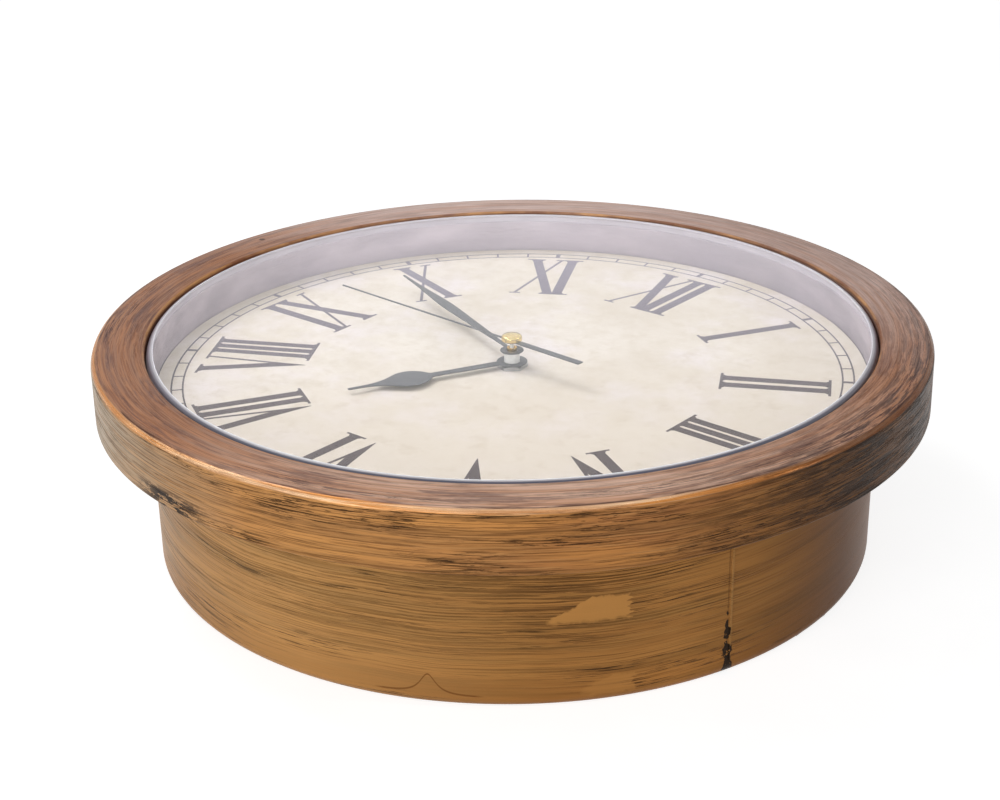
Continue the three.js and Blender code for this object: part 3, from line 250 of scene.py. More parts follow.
# %% [markdown]
# ## Materials
#
# A material is a small tree of nodes. One function adds a node with its settings and links. Colours are
# written as the hex values that one would pick from a picture, and one function turns them into linear
# light. A finish is a function that takes the add function of its own tree and gives the inputs of the
# shader.

# %% Nodes and colours
def linear(code):
    """An sRGB hex colour as linear red, green, blue and alpha."""
    channels = np.array([int(code[i : i + 2], 16) / 255 for i in (1, 3, 5)])
    light = np.where(channels <= 0.04045, channels / 12.92, ((channels + 0.055) / 1.055) ** 2.4)
    return (*light.tolist(), 1.0)


def adder(tree):
    """The function that adds a node to this tree.

    Inputs come in the order of the sockets, or by name. Each is a value, a hex colour, or what to link from:
    a socket, or a node, of which the first live output is taken."""
    def add(kind, inputs=(), **settings):
        node = tree.nodes.new("ShaderNode" + kind)
        for name, value in settings.items():
            setattr(node, name, value)
        by_socket = inputs if isinstance(inputs, dict) else dict(enumerate(inputs))
        for socket, value in by_socket.items():
            if isinstance(value, bpy.types.Node):
                value = next(output for output in value.outputs if output.enabled)
            if isinstance(value, bpy.types.NodeSocket):
                tree.links.new(value, node.inputs[socket])
            else:
                node.inputs[socket].default_value = linear(value) if isinstance(value, str) else value
        return node
    return add


def empty_material(name):
    """A material without nodes, and the function that adds them."""
    material = bpy.data.materials.new(name)
    material.use_nodes = True
    material.node_tree.nodes.clear()
    return material, adder(material.node_tree)


def surface(name, inputs, finish):
    """A material with one Principled shader, from values that are the same all over and from a finish."""
    material, add = empty_material(name)
    add("OutputMaterial", {"Surface": add("BsdfPrincipled", {**inputs, **finish(add)})})
    return material


# %% [markdown]
# Patterns read Object coordinates, which are metres in the piece's own frame, so they stay put when the
# door swings. A pattern is mostly a mask: 1 where a coat of paint covers, 0 where it doesn't, with soft
# rims. On a turned piece the coordinates run round the ring, because paint was dragged that way.

# %% Masks and coats
def all_of(add, *masks):
    """The product of masks and shares: 1 only where each of them is 1."""
    product = masks[0]
    for mask in masks[1:]:
        product = add("Math", [product, mask], operation="MULTIPLY")
    return product


def painted(add, colour, *coats):
    """Coats over a colour, one after the other. Each is a mask, its share of cover, and the coat's colour."""
    for mask, share, coat in coats:
        cover = mask if share == 1 else all_of(add, mask, share)
        colour = add("Mix", {0: cover, 6: colour, 7: coat}, data_type="RGBA")
    return colour


def mottle(add, place, size, low, high, seed=0, stretch=1, detail=2, ragged=0.55):
    """Cloudy spots of about size mm, cut to run from 0 to 1 between two levels of the noise.

    stretch makes them that many times longer along the first two axes, or along each if it gives three."""
    longer = (stretch, stretch, 1) if np.isscalar(stretch) else stretch
    scale = [1 / (size * part) for part in longer]
    moved = add("Mapping", {"Vector": place, "Scale": scale, "Location": [seed] * 3})
    noise = add("TexNoise", {"Vector": moved, "Scale": 1.0, "Detail": detail, "Roughness": ragged})
    return add("MapRange", [noise, low, high])


def mottles(add, place, rows):
    """A mottle by name for each row of a table, whose columns are those of mottle from size on."""
    return SimpleNamespace(**{name: mottle(add, place, *row) for name, row in rows.items()})


# %% Coordinates
def millimetres(add):
    """Object coordinates, in mm."""
    return add("VectorMath", {0: add("TexCoord").outputs["Object"], "Scale": 1 / MM}, operation="SCALE")


def round_the_ring(add, radius, slant, wander=0.0):
    """Coordinates that follow a turned surface: two run round a circle of the radius, the third across it.

    Across is height plus slant times distance from the axis, so it goes on over a rounded edge. wander bends
    the lines by that many mm. Also gives the distance from the axis, the height and the plain coordinates."""
    place = millimetres(add)
    height = add("SeparateXYZ", [place]).outputs[2]
    flat = add("VectorMath", [place, (1, 1, 0)], operation="MULTIPLY")
    distance = add("VectorMath", [flat], operation="LENGTH")
    unit = add("VectorMath", [flat], operation="NORMALIZE")
    circle = add("VectorMath", {0: unit, "Scale": radius}, operation="SCALE")
    across = add("Math", [height, all_of(add, distance, slant)])
    if wander:
        cloud = mottle(add, circle, 55.0, 0.2, 0.8, seed=3.7)
        across = add("Math", [across, all_of(add, cloud, wander)])
    path = add("VectorMath", [circle, add("CombineXYZ", {2: across})])
    return path, distance, height, place


def heading(degrees):
    """The direction at that angle round the axis, from III towards XII."""
    return (math.cos(math.radians(degrees)), math.sin(math.radians(degrees)), 0.0)


def towards(add, path, degrees, full, none):
    """1 where the surface lies within full degrees of a direction round the axis, 0 past none degrees."""
    flat = add("VectorMath", [path, (1, 1, 0)], operation="MULTIPLY")
    unit = add("VectorMath", [flat], operation="NORMALIZE")
    near = add("VectorMath", [unit, heading(degrees)], operation="DOT_PRODUCT")
    return add("MapRange", [near, math.cos(math.radians(none)), math.cos(math.radians(full))])


def beside(add, path, degrees):
    """Distance in mm along the surface from the line at that direction round the axis, plus anticlockwise."""
    return add("VectorMath", [path, heading(degrees + 90)], operation="DOT_PRODUCT")


print("patterns ready")


# %% [markdown]
# ## Stage and light
#
# The photograph has a white ground with hardly a shadow. The floor is white paint that also glows a little
# for the camera and for reflections, so it reads as white and still keeps the clock's soft shadow. The
# world is white where it is seen and dimmer where it only lights. Three soft boxes do the rest: one high on
# the left and behind, which gives the hands their shadows, one low at the front left for the sides, and a
# strip at the right for the light line near the edge of the case.

# %% Stage
FLOOR_RADIUS = 12000.0
FLOOR_DROP = 0.02
FLOOR_DEPTH = 5.0
FLOOR_GLOW = 0.81
WORLD_LIGHT = 0.24


def for_the_eye(add, dim, bright):
    """bright for rays of the camera, reflections and clear pieces, and dim for rays that carry light."""
    ray = add("LightPath").outputs
    seen = add("Math", [ray["Is Camera Ray"], ray["Is Glossy Ray"]], operation="MAXIMUM")
    seen = add("Math", [seen, ray["Is Transmission Ray"]], operation="MAXIMUM")
    return add("MapRange", [seen, 0, 1, dim, bright])


world = bpy.data.worlds.new("studio")
world.use_nodes = True
bpy.context.scene.world = world
world.node_tree.nodes.clear()
add = adder(world.node_tree)
backdrop = add("Background", {"Color": "#FFFFFF", "Strength": for_the_eye(add, WORLD_LIGHT, 1.0)})
add("OutputWorld", {"Surface": backdrop})

floor_paint, add = empty_material("matt_white_floor_paint")
speckle = mottle(add, millimetres(add), 40.0, 0.3, 0.7)
matt = add("BsdfDiffuse", {"Color": painted(add, "#BCBCBC", (speckle, 1, "#C4C4C4"))})
glow = add("Emission", {"Color": "#FFFFFF", "Strength": for_the_eye(add, 0.0, FLOOR_GLOW)})
add("OutputMaterial", {"Surface": add("AddShader", [matt, glow])})

floor_profile = profile_of(
    (0, -FLOOR_DROP), (FLOOR_RADIUS, -FLOOR_DROP), (FLOOR_RADIUS, -FLOOR_DEPTH), (0, -FLOOR_DEPTH)
)
floor = linked("floor", turned(floor_profile, 64))
floor.data.materials.append(floor_paint)

# %% Lamps
LAMP_AIM = 40.0


def soft_box(name, direction, height, distance, size, power):
    """A flat lamp aimed at the clock from a direction in degrees: 0 is the camera's side, 90 the right."""
    lamp_data = bpy.data.lights.new(name, "AREA")
    lamp_data.shape = "RECTANGLE"
    lamp_data.size, lamp_data.size_y = size[0] * MM, size[1] * MM
    lamp_data.energy = power
    lamp = bpy.data.objects.new(name, lamp_data)
    bpy.context.scene.collection.objects.link(lamp)
    turn = rotation(CLOCK_TURN + direction, "Z")
    rise = math.radians(height)
    pose = np.eye(4)
    pose[:3, :3] = turn @ rotation(90 - height, "X")
    pose[:3, 3] = (turn @ np.array([0.0, -math.cos(rise), math.sin(rise)]) * distance + [0, 0, LAMP_AIM]) * MM
    lamp.matrix_world = Matrix(pose.tolist())


soft_box("window_box", -125, 55, 1100, (440, 440), 3.2)
soft_box("side_box", -30, 14, 1100, (800, 420), 5.2)
soft_box("edge_strip", 74, 12, 900, (60, 600), 1.4)
print("stage and lamps ready")


# %% [markdown]
# ## Bronze finish
#
# The bezel and the case are moulded plastic with a bronze lacquer that was brushed and rubbed by hand.
# Under it lies a golden brown. Darker paint was dragged round the ring, and it stays as long thin dashes
# and soft bands. Rubbing took it off the outer edge again, where a peach gold shows, brightened further by a
# painted highlight. The colours also hold painted light: a painted light at the front left, a painted grey
# reflection on the far left, and painted shade on the right. The patterns run along the turned surface:
# lengths of 5 to 80 mm round the ring, and widths from 0.4 to 6 mm across it.

# %% Streaks of the bezel
BEZEL_LOW, BEZEL_HIGH = limits("bezel_ring")
BEZEL_RADIUS = BEZEL_HIGH[0]
BEZEL_TOP = BEZEL_HIGH[2]
CROWN_RISE = 0.4
SHOULDER = BEZEL_TOP - CROWN_RISE
EDGE_ROUND = 2.4
WELL_RADIUS = 111.5
FACE_INNER = 113.8
NICK_PLACE = (-121.75, 10.4, BEZEL_TOP)
# Each row: width in mm, the two levels of the noise, seed, length in widths, detail, raggedness
BEZEL_STREAKS = {
    "clouds": (4.0, 0.35, 0.65, 1, 12),
    "bands": (1.8, 0.44, 0.6, 5, 30, 3),
    "hairs": (0.36, 0.51, 0.56, 9, 60, 3, 0.62),
    "gold": (0.6, 0.54, 0.64, 11, 50, 3, 0.6),
    "patch": (5.0, 0.47, 0.6, 14, 10, 3),
    "dashes": (0.44, 0.545, 0.575, 21, 30, 4, 0.62),
    "specks": (0.4, 0.595, 0.62, 23, 13, 4, 0.65),
    "smear": (1.9, 0.47, 0.54, 25, 11, 5, 0.7),
    "flames": (3.2, 0.5, 0.62, 28, 9, 5, 0.65),
    "low_chips": (1.3, 0.46, 0.5, 31, 4, 4, 0.7),
    "dull": (3.0, 0.46, 0.58, 35, 14, 3),
    "scuffs": (2.0, 0.45, 0.55, 37, 10, 4),
    "well_haze": (9.0, 0.38, 0.62, 40, 3, 3),
    "rubbed": (1.5, 0.42, 0.6, 45, 14, 4),
}

print(len(BEZEL_STREAKS), "patterns of streaks on the bezel")


# %% Colours of the bezel
def bezel_side(add, path, cut, shade_and_patina_side):
    """Golden brown with a painted light at the front left, a painted grey reflection on the far left, and
    painted shade over denser dark lacquer, with gold hairs, on the right.
    """
    # The light coat at the front left is painted light, the grey on the far left a painted reflection, and
    # the dark brown on the right painted shade.
    return painted(
        add, "#D2904E", (cut.clouds, 1, "#B87C48"), (towards(add, path, -88, 10, 42), 0.35, "#EAB06C"),
        (cut.bands, 0.4, "#7E5A34"), (towards(add, path, -140, 18, 56), 0.8, "#B5AA94"),
        (cut.hairs, 0.52, "#54341E"), (cut.gold, 0.45, "#D89E62"), (shade_and_patina_side, 0.88, "#40260F"),
        (all_of(add, cut.gold, shade_and_patina_side), 0.4, "#A06A34"), (cut.smear, 0.8, "#1E1612"),
        (cut.dashes, 0.85, "#2C1C10"),
    )


def bezel_face(add, path, cut, shade_and_patina_side, distance):
    """Purple brown with orange streaks and dark smears towards the outside, with a painted sheen at the front
    and behind, painted shade on the left and painted shade on the right.
    """
    back_sheen = towards(add, path, 100, 44, 84)
    plainer = add("MapRange", [back_sheen, 0, 1, 1.0, 0.35])
    outer = all_of(add, add("MapRange", [distance, 118.0, 126.0, 0.25, 1.0]), plainer)
    # The darker coat towards -140 degrees is painted shade, and the pale coats at the front and behind are a
    # painted sheen.
    return painted(
        add, "#CC8C62", (cut.clouds, 1, "#B07E62"), (towards(add, path, -140, 40, 72), 0.38, "#7C5A4C"),
        (towards(add, path, -40, 20, 62), 0.9, "#F8CEB4"), (back_sheen, 0.9, "#F4D8D0"),
        (cut.bands, 0.5, "#CA8450"), (all_of(add, cut.flames, plainer), 0.62, "#684A48"),
        (cut.hairs, 0.34, "#6A4A46"), (cut.gold, 0.3, "#D6A078"), (shade_and_patina_side, 0.3, "#AC6A44"),
        (all_of(add, cut.smear, outer), 0.75, "#3A2A28"), (all_of(add, cut.dashes, outer), 0.75, "#44343A"),
        (back_sheen, 0.25, "#F6DCD0"),
    )


def worn_edge_and_highlight(add, path, cut, shade_and_patina_side):
    """Peach gold where rubbing bared the outer edge, made brighter as a painted highlight, with tan on the
    far left and painted shade in red brown on the right.
    """
    # The peach gold is partly wear and partly a painted highlight of the lamps along the rounded edge.
    return painted(
        add, "#F8CDA2", (cut.bands, 1, "#DC9450"), (cut.dull, 0.4, "#A8672F"), (cut.dashes, 0.45, "#5E3C26"),
        (towards(add, path, -150, 20, 60), 0.7, "#C8813C"), (shade_and_patina_side, 0.8, "#6A3414"),
    )


def well_wall(add, path, cut, height):
    """Lilac grey plastic, with a painted reflection that lightens the far wall, painted shade on the right
    wall and painted shade at its foot.
    """
    # The lighter coat behind is a painted reflection of the lens, and the darker coats on the right and at
    # the foot are painted shade.
    foot = add("MapRange", [height, 62.0, 54.4, 0.0, 0.35])
    return painted(
        add, "#BCB0B6", (cut.well_haze, 1, "#978B93"), (towards(add, path, 128, 20, 90), 0.5, "#D8CFD8"),
        (towards(add, path, 58, 22, 52), 0.4, "#9C979E"), (foot, 1, "#857C86"),
    )


# %% Bronze of the bezel
def bezel_finish(add):
    """Side, top, worn edge with its painted highlight, and well, each where the profile has it, with the
    marks cut a little into them.

    out and rise are the distance and the height from the middle of the edge's round. Their difference tells
    the top from the side, and their sum is largest half way round the edge."""
    path, distance, height, place = round_the_ring(add, BEZEL_RADIUS, -1.0, wander=1.0)
    cut = mottles(add, path, BEZEL_STREAKS)
    # Painted shade on the right of the ring, away from the lamps, where the dark lacquer marks also lie
    # denser.
    shade_and_patina_side = towards(add, path, 40, 43, 75)
    patch = add("Math", [cut.patch, shade_and_patina_side], operation="MAXIMUM")
    strokes = [all_of(add, cut.dashes, patch), all_of(add, cut.specks, patch)]
    cut.dashes = add("Math", strokes, operation="MAXIMUM")
    cut.smear = all_of(add, cut.smear, shade_and_patina_side)
    below_skirt = add("MapRange", [height, 56.5, 54.5])
    chips = all_of(add, cut.low_chips, towards(add, path, -98, 2, 8), below_skirt)

    out = add("Math", [distance, BEZEL_RADIUS - EDGE_ROUND], operation="SUBTRACT")
    rise = add("Math", [height, SHOULDER - EDGE_ROUND], operation="SUBTRACT")
    top = add("MapRange", [add("Math", [rise, out], operation="SUBTRACT"), 0.0, 1.6])
    edge = add("MapRange", [add("Math", [rise, out]), 3.08, 3.32])
    off_line = add("Math", [height, SHOULDER - 0.12], operation="SUBTRACT")
    on_line = add("MapRange", [add("Math", [off_line], operation="ABSOLUTE"), 0.14, 0.04])
    rim_line = all_of(add, on_line, cut.scuffs, add("MapRange", [distance, 125, 127]))
    from_nick = add("VectorMath", [place, NICK_PLACE], operation="DISTANCE")
    nick = add("MapRange", [from_nick, 1.3, 0.8, 0.0, 0.8])
    well = add("MapRange", [distance, FACE_INNER - 0.15, FACE_INNER - 0.25])
    gap = all_of(add, add("MapRange", [height, SHOULDER - 0.9, SHOULDER - 2.4]),
                 add("MapRange", [distance, FACE_INNER + 0.35, FACE_INNER + 0.1]))
    lip = all_of(add, add("MapRange", [distance, FACE_INNER + 0.75, FACE_INNER + 0.4]),
                 add("MapRange", [height, SHOULDER - 1.2, SHOULDER - 0.9]))
    lip_colour = painted(add, "#8E5A3A", (cut.rubbed, 1, "#E0A468"))
    colour = painted(
        add, bezel_side(add, path, cut, shade_and_patina_side), (top, 1, bezel_face(add, path, cut, shade_and_patina_side, distance)),
        (edge, 1, worn_edge_and_highlight(add, path, cut, shade_and_patina_side)), (rim_line, 0.8, "#4A2A1C"), (chips, 0.95, "#201A18"),
        (nick, 1, "#3A2824"), (gap, 1, "#80564A"), (lip, 0.8, lip_colour),
        (well, 1, well_wall(add, path, cut, height)),
    )

    level = all_of(add, mottle(add, place, 0.8, 0.3, 0.7, 50, detail=4), 0.3)
    for mark in (cut.dashes, all_of(add, cut.hairs, 0.6), chips):
        level = add("Math", [level, mark], operation="SUBTRACT")
    rough = add("MapRange", [add("Math", [cut.hairs, cut.dashes]), 0, 1.4, 0.34, 0.58])
    rough = add("Math", [rough, all_of(add, edge, 0.1)], operation="SUBTRACT")
    plain = add("Math", [well, gap], operation="MAXIMUM")
    bare = add("Math", [1.0, plain], operation="SUBTRACT", use_clamp=True)
    shine = add("Math", [0.15, all_of(add, edge, 0.4)])
    shine = all_of(add, shine, bare, add("MapRange", [shade_and_patina_side, 0, 1, 1.0, 0.25]))
    bump = add("Bump", {"Height": level, "Distance": 0.05 * MM})
    return {"Base Color": colour, "Roughness": rough, "Metallic": shine, "Normal": bump}


bronze_bezel = surface("bronze_lacquer_on_moulded_bezel", {"Specular IOR Level": 0.09}, bezel_finish)

# %% Streaks and runs of the case
CASE_RIM = 114.0
CASE_FOOT = 113.4
CASE_INNER = 111.2
CASE_TOP = 50.3
SEAM_ANGLE = -18.6
CASE_STREAKS = {
    "clouds": (5.0, 0.35, 0.65, 2, 14),
    "bands": (2.6, 0.46, 0.62, 6, 30, 3),
    "lines": (0.44, 0.525, 0.565, 10, 120, 3, 0.64),
    "cluster": (6.0, 0.42, 0.58, 12, 11),
    "strokes": (0.46, 0.53, 0.555, 19, 70, 4, 0.66),
    "patch": (6.0, 0.46, 0.6, 13, 12, 3),
    "marks": (0.5, 0.575, 0.6, 16, 40, 4, 0.62),
    "gold": (0.6, 0.56, 0.66, 15, 70, 3),
}


def flat_patch(add, path, height, degrees, half, low, high, slope):
    """1 inside a patch where lacquer filled the brush lines: its top edge falls by slope to the left."""
    across = beside(add, path, degrees)
    ragged = all_of(add, mottle(add, path, 3.0, 0.3, 0.7, 61), 1.2)
    leftwards = add("Math", [all_of(add, across, -1.0), 0.0], operation="MAXIMUM")
    upper = add("Math", [high, all_of(add, leftwards, slope)], operation="SUBTRACT")
    level = add("Math", [height, ragged])
    below_top = add("MapRange", [add("Math", [upper, level], operation="SUBTRACT"), 0.0, 0.5])
    frayed = all_of(add, mottle(add, path, 0.9, 0.3, 0.7, 63, 4), 2.6)
    across = add("Math", [across, frayed])
    left, right = add("MapRange", [across, -half, 3.0 - half]), add("MapRange", [across, half, half - 0.5])
    return all_of(add, below_top, add("MapRange", [level, low, low + 1.0]), left, right)


def peaked_line(add, path, height, degrees, foot, peak, half, reach):
    """1 on a fine line of height foot + peak / (1 + (across / half)^2), where a run of lacquer dried."""
    across = beside(add, path, degrees)
    share = add("Math", [across, half], operation="DIVIDE")
    bell = add("Math", [peak, add("Math", [all_of(add, share, share), 1.0])], operation="DIVIDE")
    off = add("Math", [add("Math", [height, foot], operation="SUBTRACT"), bell], operation="SUBTRACT")
    line = add("MapRange", [add("Math", [off], operation="ABSOLUTE"), 0.4, 0.12])
    ends = add("MapRange", [add("Math", [across], operation="ABSOLUTE"), reach, reach - 3.0])
    return all_of(add, line, ends)


def seam_marks(add, path, height, place):
    """The mould seam's ridge, lightened as a painted highlight, a fine line of painted shade beside it, and
    black chips along its lower half.
    """
    from_seam = beside(add, path, SEAM_ANGLE)
    near_seam = towards(add, path, SEAM_ANGLE, 5, 20)
    # The ridge is painted lighter as a highlight, and a line 1 mm to its clockwise side is painted darker as
    # its shade.
    from_ridge_shade = add("Math", [add("Math", [from_seam, 1.0])], operation="ABSOLUTE")
    on_ridge = add("MapRange", [add("Math", [from_seam], operation="ABSOLUTE"), 0.75, 0.45])
    ridge_highlight = all_of(add, on_ridge, near_seam, add("MapRange", [height, 2.0, 16.0, 0.2, 1.0]))
    on_ridge_shade = add("MapRange", [from_ridge_shade, 0.3, 0.15])
    ridge_shade = all_of(add, on_ridge_shade, near_seam, add("MapRange", [height, 18.0, 24.0]))
    lump = add("MapRange", [mottle(add, place, 2.6, 0.4, 0.62, 77, detail=1), 0.0, 1.0, 0.6, 2.1])
    reach = all_of(add, lump, add("MapRange", [height, 6.0, 20.0, 1.15, 0.6]))
    way = add("Math", [from_ridge_shade, all_of(add, height, 0.03)])
    within = add("MapRange", [add("Math", [reach, way], operation="SUBTRACT"), 0.0, 0.3])
    chips = mottle(add, place, 1.4, 0.37, 0.42, 71, detail=3, ragged=0.6)
    return ridge_highlight, ridge_shade, all_of(add, chips, within, add("MapRange", [height, 22.5, 21.0]), near_seam)

print(len(CASE_STREAKS), "patterns of streaks on the case")


# %% Bronze of the case
def case_finish(add):
    """Golden brown with olive bands and long thin dark lines, and black plastic inside, with a painted light
    at the front left, a painted grey reflection on the far left, and painted shade at the front and on the
    right.
    """
    path, distance, height, place = round_the_ring(add, CASE_RIM, 1.0, wander=1.6)
    cut = mottles(add, path, CASE_STREAKS)
    # Painted shade on the right of the case, away from the lamps.
    shade_and_patina_side = towards(add, path, 38, 30, 66)
    near_side = towards(add, path, -48, 60, 80)
    upper = flat_patch(add, path, height, degrees=-40.0, half=12.3, low=26.5, high=34.6, slope=0.5)
    lower = flat_patch(add, path, height, degrees=-37.0, half=8.0, low=3.0, high=9.4, slope=0.35)
    smooth = all_of(add, add("Math", [upper, all_of(add, lower, 0.5)], operation="MAXIMUM"), near_side)
    brushed = add("Math", [1.0, smooth], operation="SUBTRACT")
    cluster = add("MapRange", [cut.cluster, 0, 1, 0.4, 1.0])
    lines = all_of(add, cut.lines, cluster, add("MapRange", [height, 6.0, 26.0, 0.45, 1.0]))
    busy = all_of(add, towards(add, path, -66, 22, 42), add("MapRange", [height, 14.0, 24.0]))
    lines = add("Math", [lines, all_of(add, cut.strokes, busy)], operation="MAXIMUM")
    lines = all_of(add, lines, add("MapRange", [shade_and_patina_side, 0, 1, 1.0, 0.35]), brushed)
    marks = all_of(add, cut.marks, cut.patch, add("MapRange", [shade_and_patina_side, 0, 1, 1.0, 0.1]), brushed)
    run = peaked_line(add, path, height, degrees=-63.0, foot=3.6, peak=6.4, half=2.8, reach=16.0)
    ridge_highlight, ridge_shade, chips = seam_marks(add, path, height, place)
    inside = all_of(add, add("MapRange", [distance, CASE_INNER + 0.45, CASE_INNER + 0.3]),
                    add("MapRange", [height, 0.9, 1.1]))
    # Painted light towards -80 degrees, a painted grey reflection towards -140 degrees, painted shade towards
    # -48 degrees and on the right, and a painted highlight and painted shade along the seam's ridge.
    colour = painted(
        add, "#D0924E", (cut.clouds, 1, "#B88044"), (cut.bands, 0.4, "#86683A"),
        (towards(add, path, -140, 20, 88), 0.35, "#A99A80"), (lines, 0.8, "#4A3018"),
        (cut.gold, 0.35, "#D29C58"),
        (add("MapRange", [height, 14.0, 3.0]), 0.3, "#B87434"), (shade_and_patina_side, 0.88, "#5A320E"),
        (towards(add, path, -80, 8, 34), 0.3, "#E8AE66"), (towards(add, path, -48, 10, 34), 0.26, "#704A28"),
        (marks, 0.8, "#2E2014"), (smooth, 0.7, "#CC9250"), (all_of(add, run, near_side), 0.75, "#744620"),
        (ridge_highlight, 0.22, "#D2A468"), (ridge_shade, 0.45, "#5A3A1C"), (chips, 0.95, "#17120E"), (inside, 1, "#4A423E"),
    )

    level = all_of(add, mottle(add, place, 0.8, 0.3, 0.7, 51, detail=4), 0.3)
    for mark in (lines, add("Math", [marks, chips], operation="MAXIMUM")):
        level = add("Math", [level, mark], operation="SUBTRACT")
    level = add("Math", [level, smooth])
    rough = add("MapRange", [lines, 0, 1, 0.36, 0.5])
    shine = add("MapRange", [inside, 0, 1, 0.15, 0.0])
    shine = all_of(add, shine, add("MapRange", [shade_and_patina_side, 0, 1, 1.0, 0.1]))
    bump = add("Bump", {"Height": level, "Distance": 0.04 * MM})
    return {"Base Color": colour, "Roughness": rough, "Metallic": shine, "Normal": bump}


bronze_case = surface("bronze_lacquer_on_moulded_case", {"Specular IOR Level": 0.07}, case_finish)
print("bronze ready, bezel top at", round(float(BEZEL_TOP), 2))

# %% [markdown]
# ## Bezel
#
# The bezel is a hollow moulded ring. Its profile is a wall outside, a rounded edge, a slightly crowned top,
# and a well in the middle for the lens and the dial. Turning the profile in 384 steps gives a smooth
# outline even in a close view. Six bosses hang from its underside for the screws.

# %% Bezel
RING_COLUMNS = 384
SKIRT_LOW = BEZEL_LOW[2]
SKIRT_INNER = 127.8
WELL_OUTER = 114.1
LENS_SEAT = 65.4
DIAL_PLATE_TOP = 54.4
DECK_UNDER = SHOULDER - 2.2
ARRIS = 0.8
CHAMFER = 0.5
RIM = 0.3
CROWN_POINTS = 11
BOSS_INNER, BOSS_OUTER, BOSS_LOW = 1.8, 3.6, 52.4
DOOR_SCREW_Y = 9.5
DOOR_SCREW_X = (limits("hinge_door_screw_1")[0][0] + limits("hinge_door_screw_1")[1][0]) / 2
crown_shares = np.linspace(0, 1, CROWN_POINTS + 2)[1:-1]
crown_outer = BEZEL_RADIUS - EDGE_ROUND
crown_inner = FACE_INNER + ARRIS
crown = np.stack([
    crown_outer + (crown_inner - crown_outer) * crown_shares,
    SHOULDER + CROWN_RISE * (1 - (2 * crown_shares - 1) ** 2),
], axis=1)
bezel_profile = profile_of(
    (BEZEL_RADIUS - CHAMFER, SKIRT_LOW), arc(BEZEL_RADIUS - CHAMFER, SKIRT_LOW + CHAMFER, CHAMFER, -60, 0, 3),
    arc(crown_outer, SHOULDER - EDGE_ROUND, EDGE_ROUND, 0, 90, 12), crown,
    arc(crown_inner, SHOULDER - ARRIS, ARRIS, 90, 180, 6),
    (FACE_INNER, LENS_SEAT + RIM), (FACE_INNER, LENS_SEAT),
    (WELL_RADIUS + RIM, LENS_SEAT), (WELL_RADIUS, LENS_SEAT - RIM), (WELL_RADIUS, DIAL_PLATE_TOP),
    (WELL_OUTER, DIAL_PLATE_TOP), (WELL_OUTER, DECK_UNDER),
    (SKIRT_INNER, DECK_UNDER), (SKIRT_INNER, SKIRT_LOW),
)
boss_circle = (WELL_OUTER + SKIRT_INNER) / 2
boss_angles = np.radians([45, 135, 225, 315])
boss_places = [(boss_circle * math.cos(a), boss_circle * math.sin(a)) for a in boss_angles]
boss_places += [(DOOR_SCREW_X, -DOOR_SCREW_Y), (DOOR_SCREW_X, DOOR_SCREW_Y)]
boss_profile = ring_profile(BOSS_INNER, BOSS_OUTER, BOSS_LOW, DECK_UNDER + 1.1, 0.2)
bosses = [turned(boss_profile, 32, place) for place in boss_places]
bezel = linked("bezel", joined(turned(bezel_profile, RING_COLUMNS), *bosses))
fitted(bezel, "door", bronze_bezel, ["bezel_ring"], "bronze_paint")

# %% [markdown]
# ## Case
#
# The case is a moulded cup. Its wall leans out by 0.6 mm, so that it leaves the mould, and a fine seam
# shows where the two halves of the mould met. The cup is turned, then the hinge pad, the ribs for the
# shelves and the pillar for the magnet are joined to it, and the keyhole and the screw holes are cut.

# %% Cup, pad, ribs and pillar
FOOT_ROUND = 3.5
FLOOR = 2.2
IN_THE_WALL = 1.1
PAD = ((-115.0, -112.2), (-20.0, 20.0), (32.3, CASE_TOP))
PILLAR = ((101.0, 112.3), (-7.9, 7.9), (FLOOR - IN_THE_WALL, 49.3))
SHELF_Y, RIB_GAP, RIB_HALF, RIB_DEPTH, RIB_TOP = 36.0, 2.3, 0.8, 5.0, 44.8
cup_profile = profile_of(
    (0, 0), arc(CASE_FOOT - FOOT_ROUND, FOOT_ROUND, FOOT_ROUND, -90, 0, 8), (CASE_RIM - 0.15, CASE_TOP - RIM),
    (CASE_RIM - 0.4, CASE_TOP), (CASE_INNER + RIM, CASE_TOP), (CASE_INNER, CASE_TOP - RIM),
    (CASE_INNER, FLOOR + 1.0), (CASE_INNER - RIM, FLOOR + RIM), (CASE_INNER - 1.0, FLOOR), (0, FLOOR),
)
case = linked("case", turned(cup_profile, 288))
ribs = []
for shelf_side in (-1, 1):
    for rib_side in (-1, 1):
        y = shelf_side * SHELF_Y + rib_side * RIB_GAP
        reach = math.sqrt((CASE_INNER + IN_THE_WALL) ** 2 - y ** 2)
        for end in (-1, 1):
            x = sorted((end * reach, end * (reach - RIB_DEPTH - IN_THE_WALL)))
            ribs.append(block(x, (y - RIB_HALF, y + RIB_HALF), (FLOOR - IN_THE_WALL, RIB_TOP)))

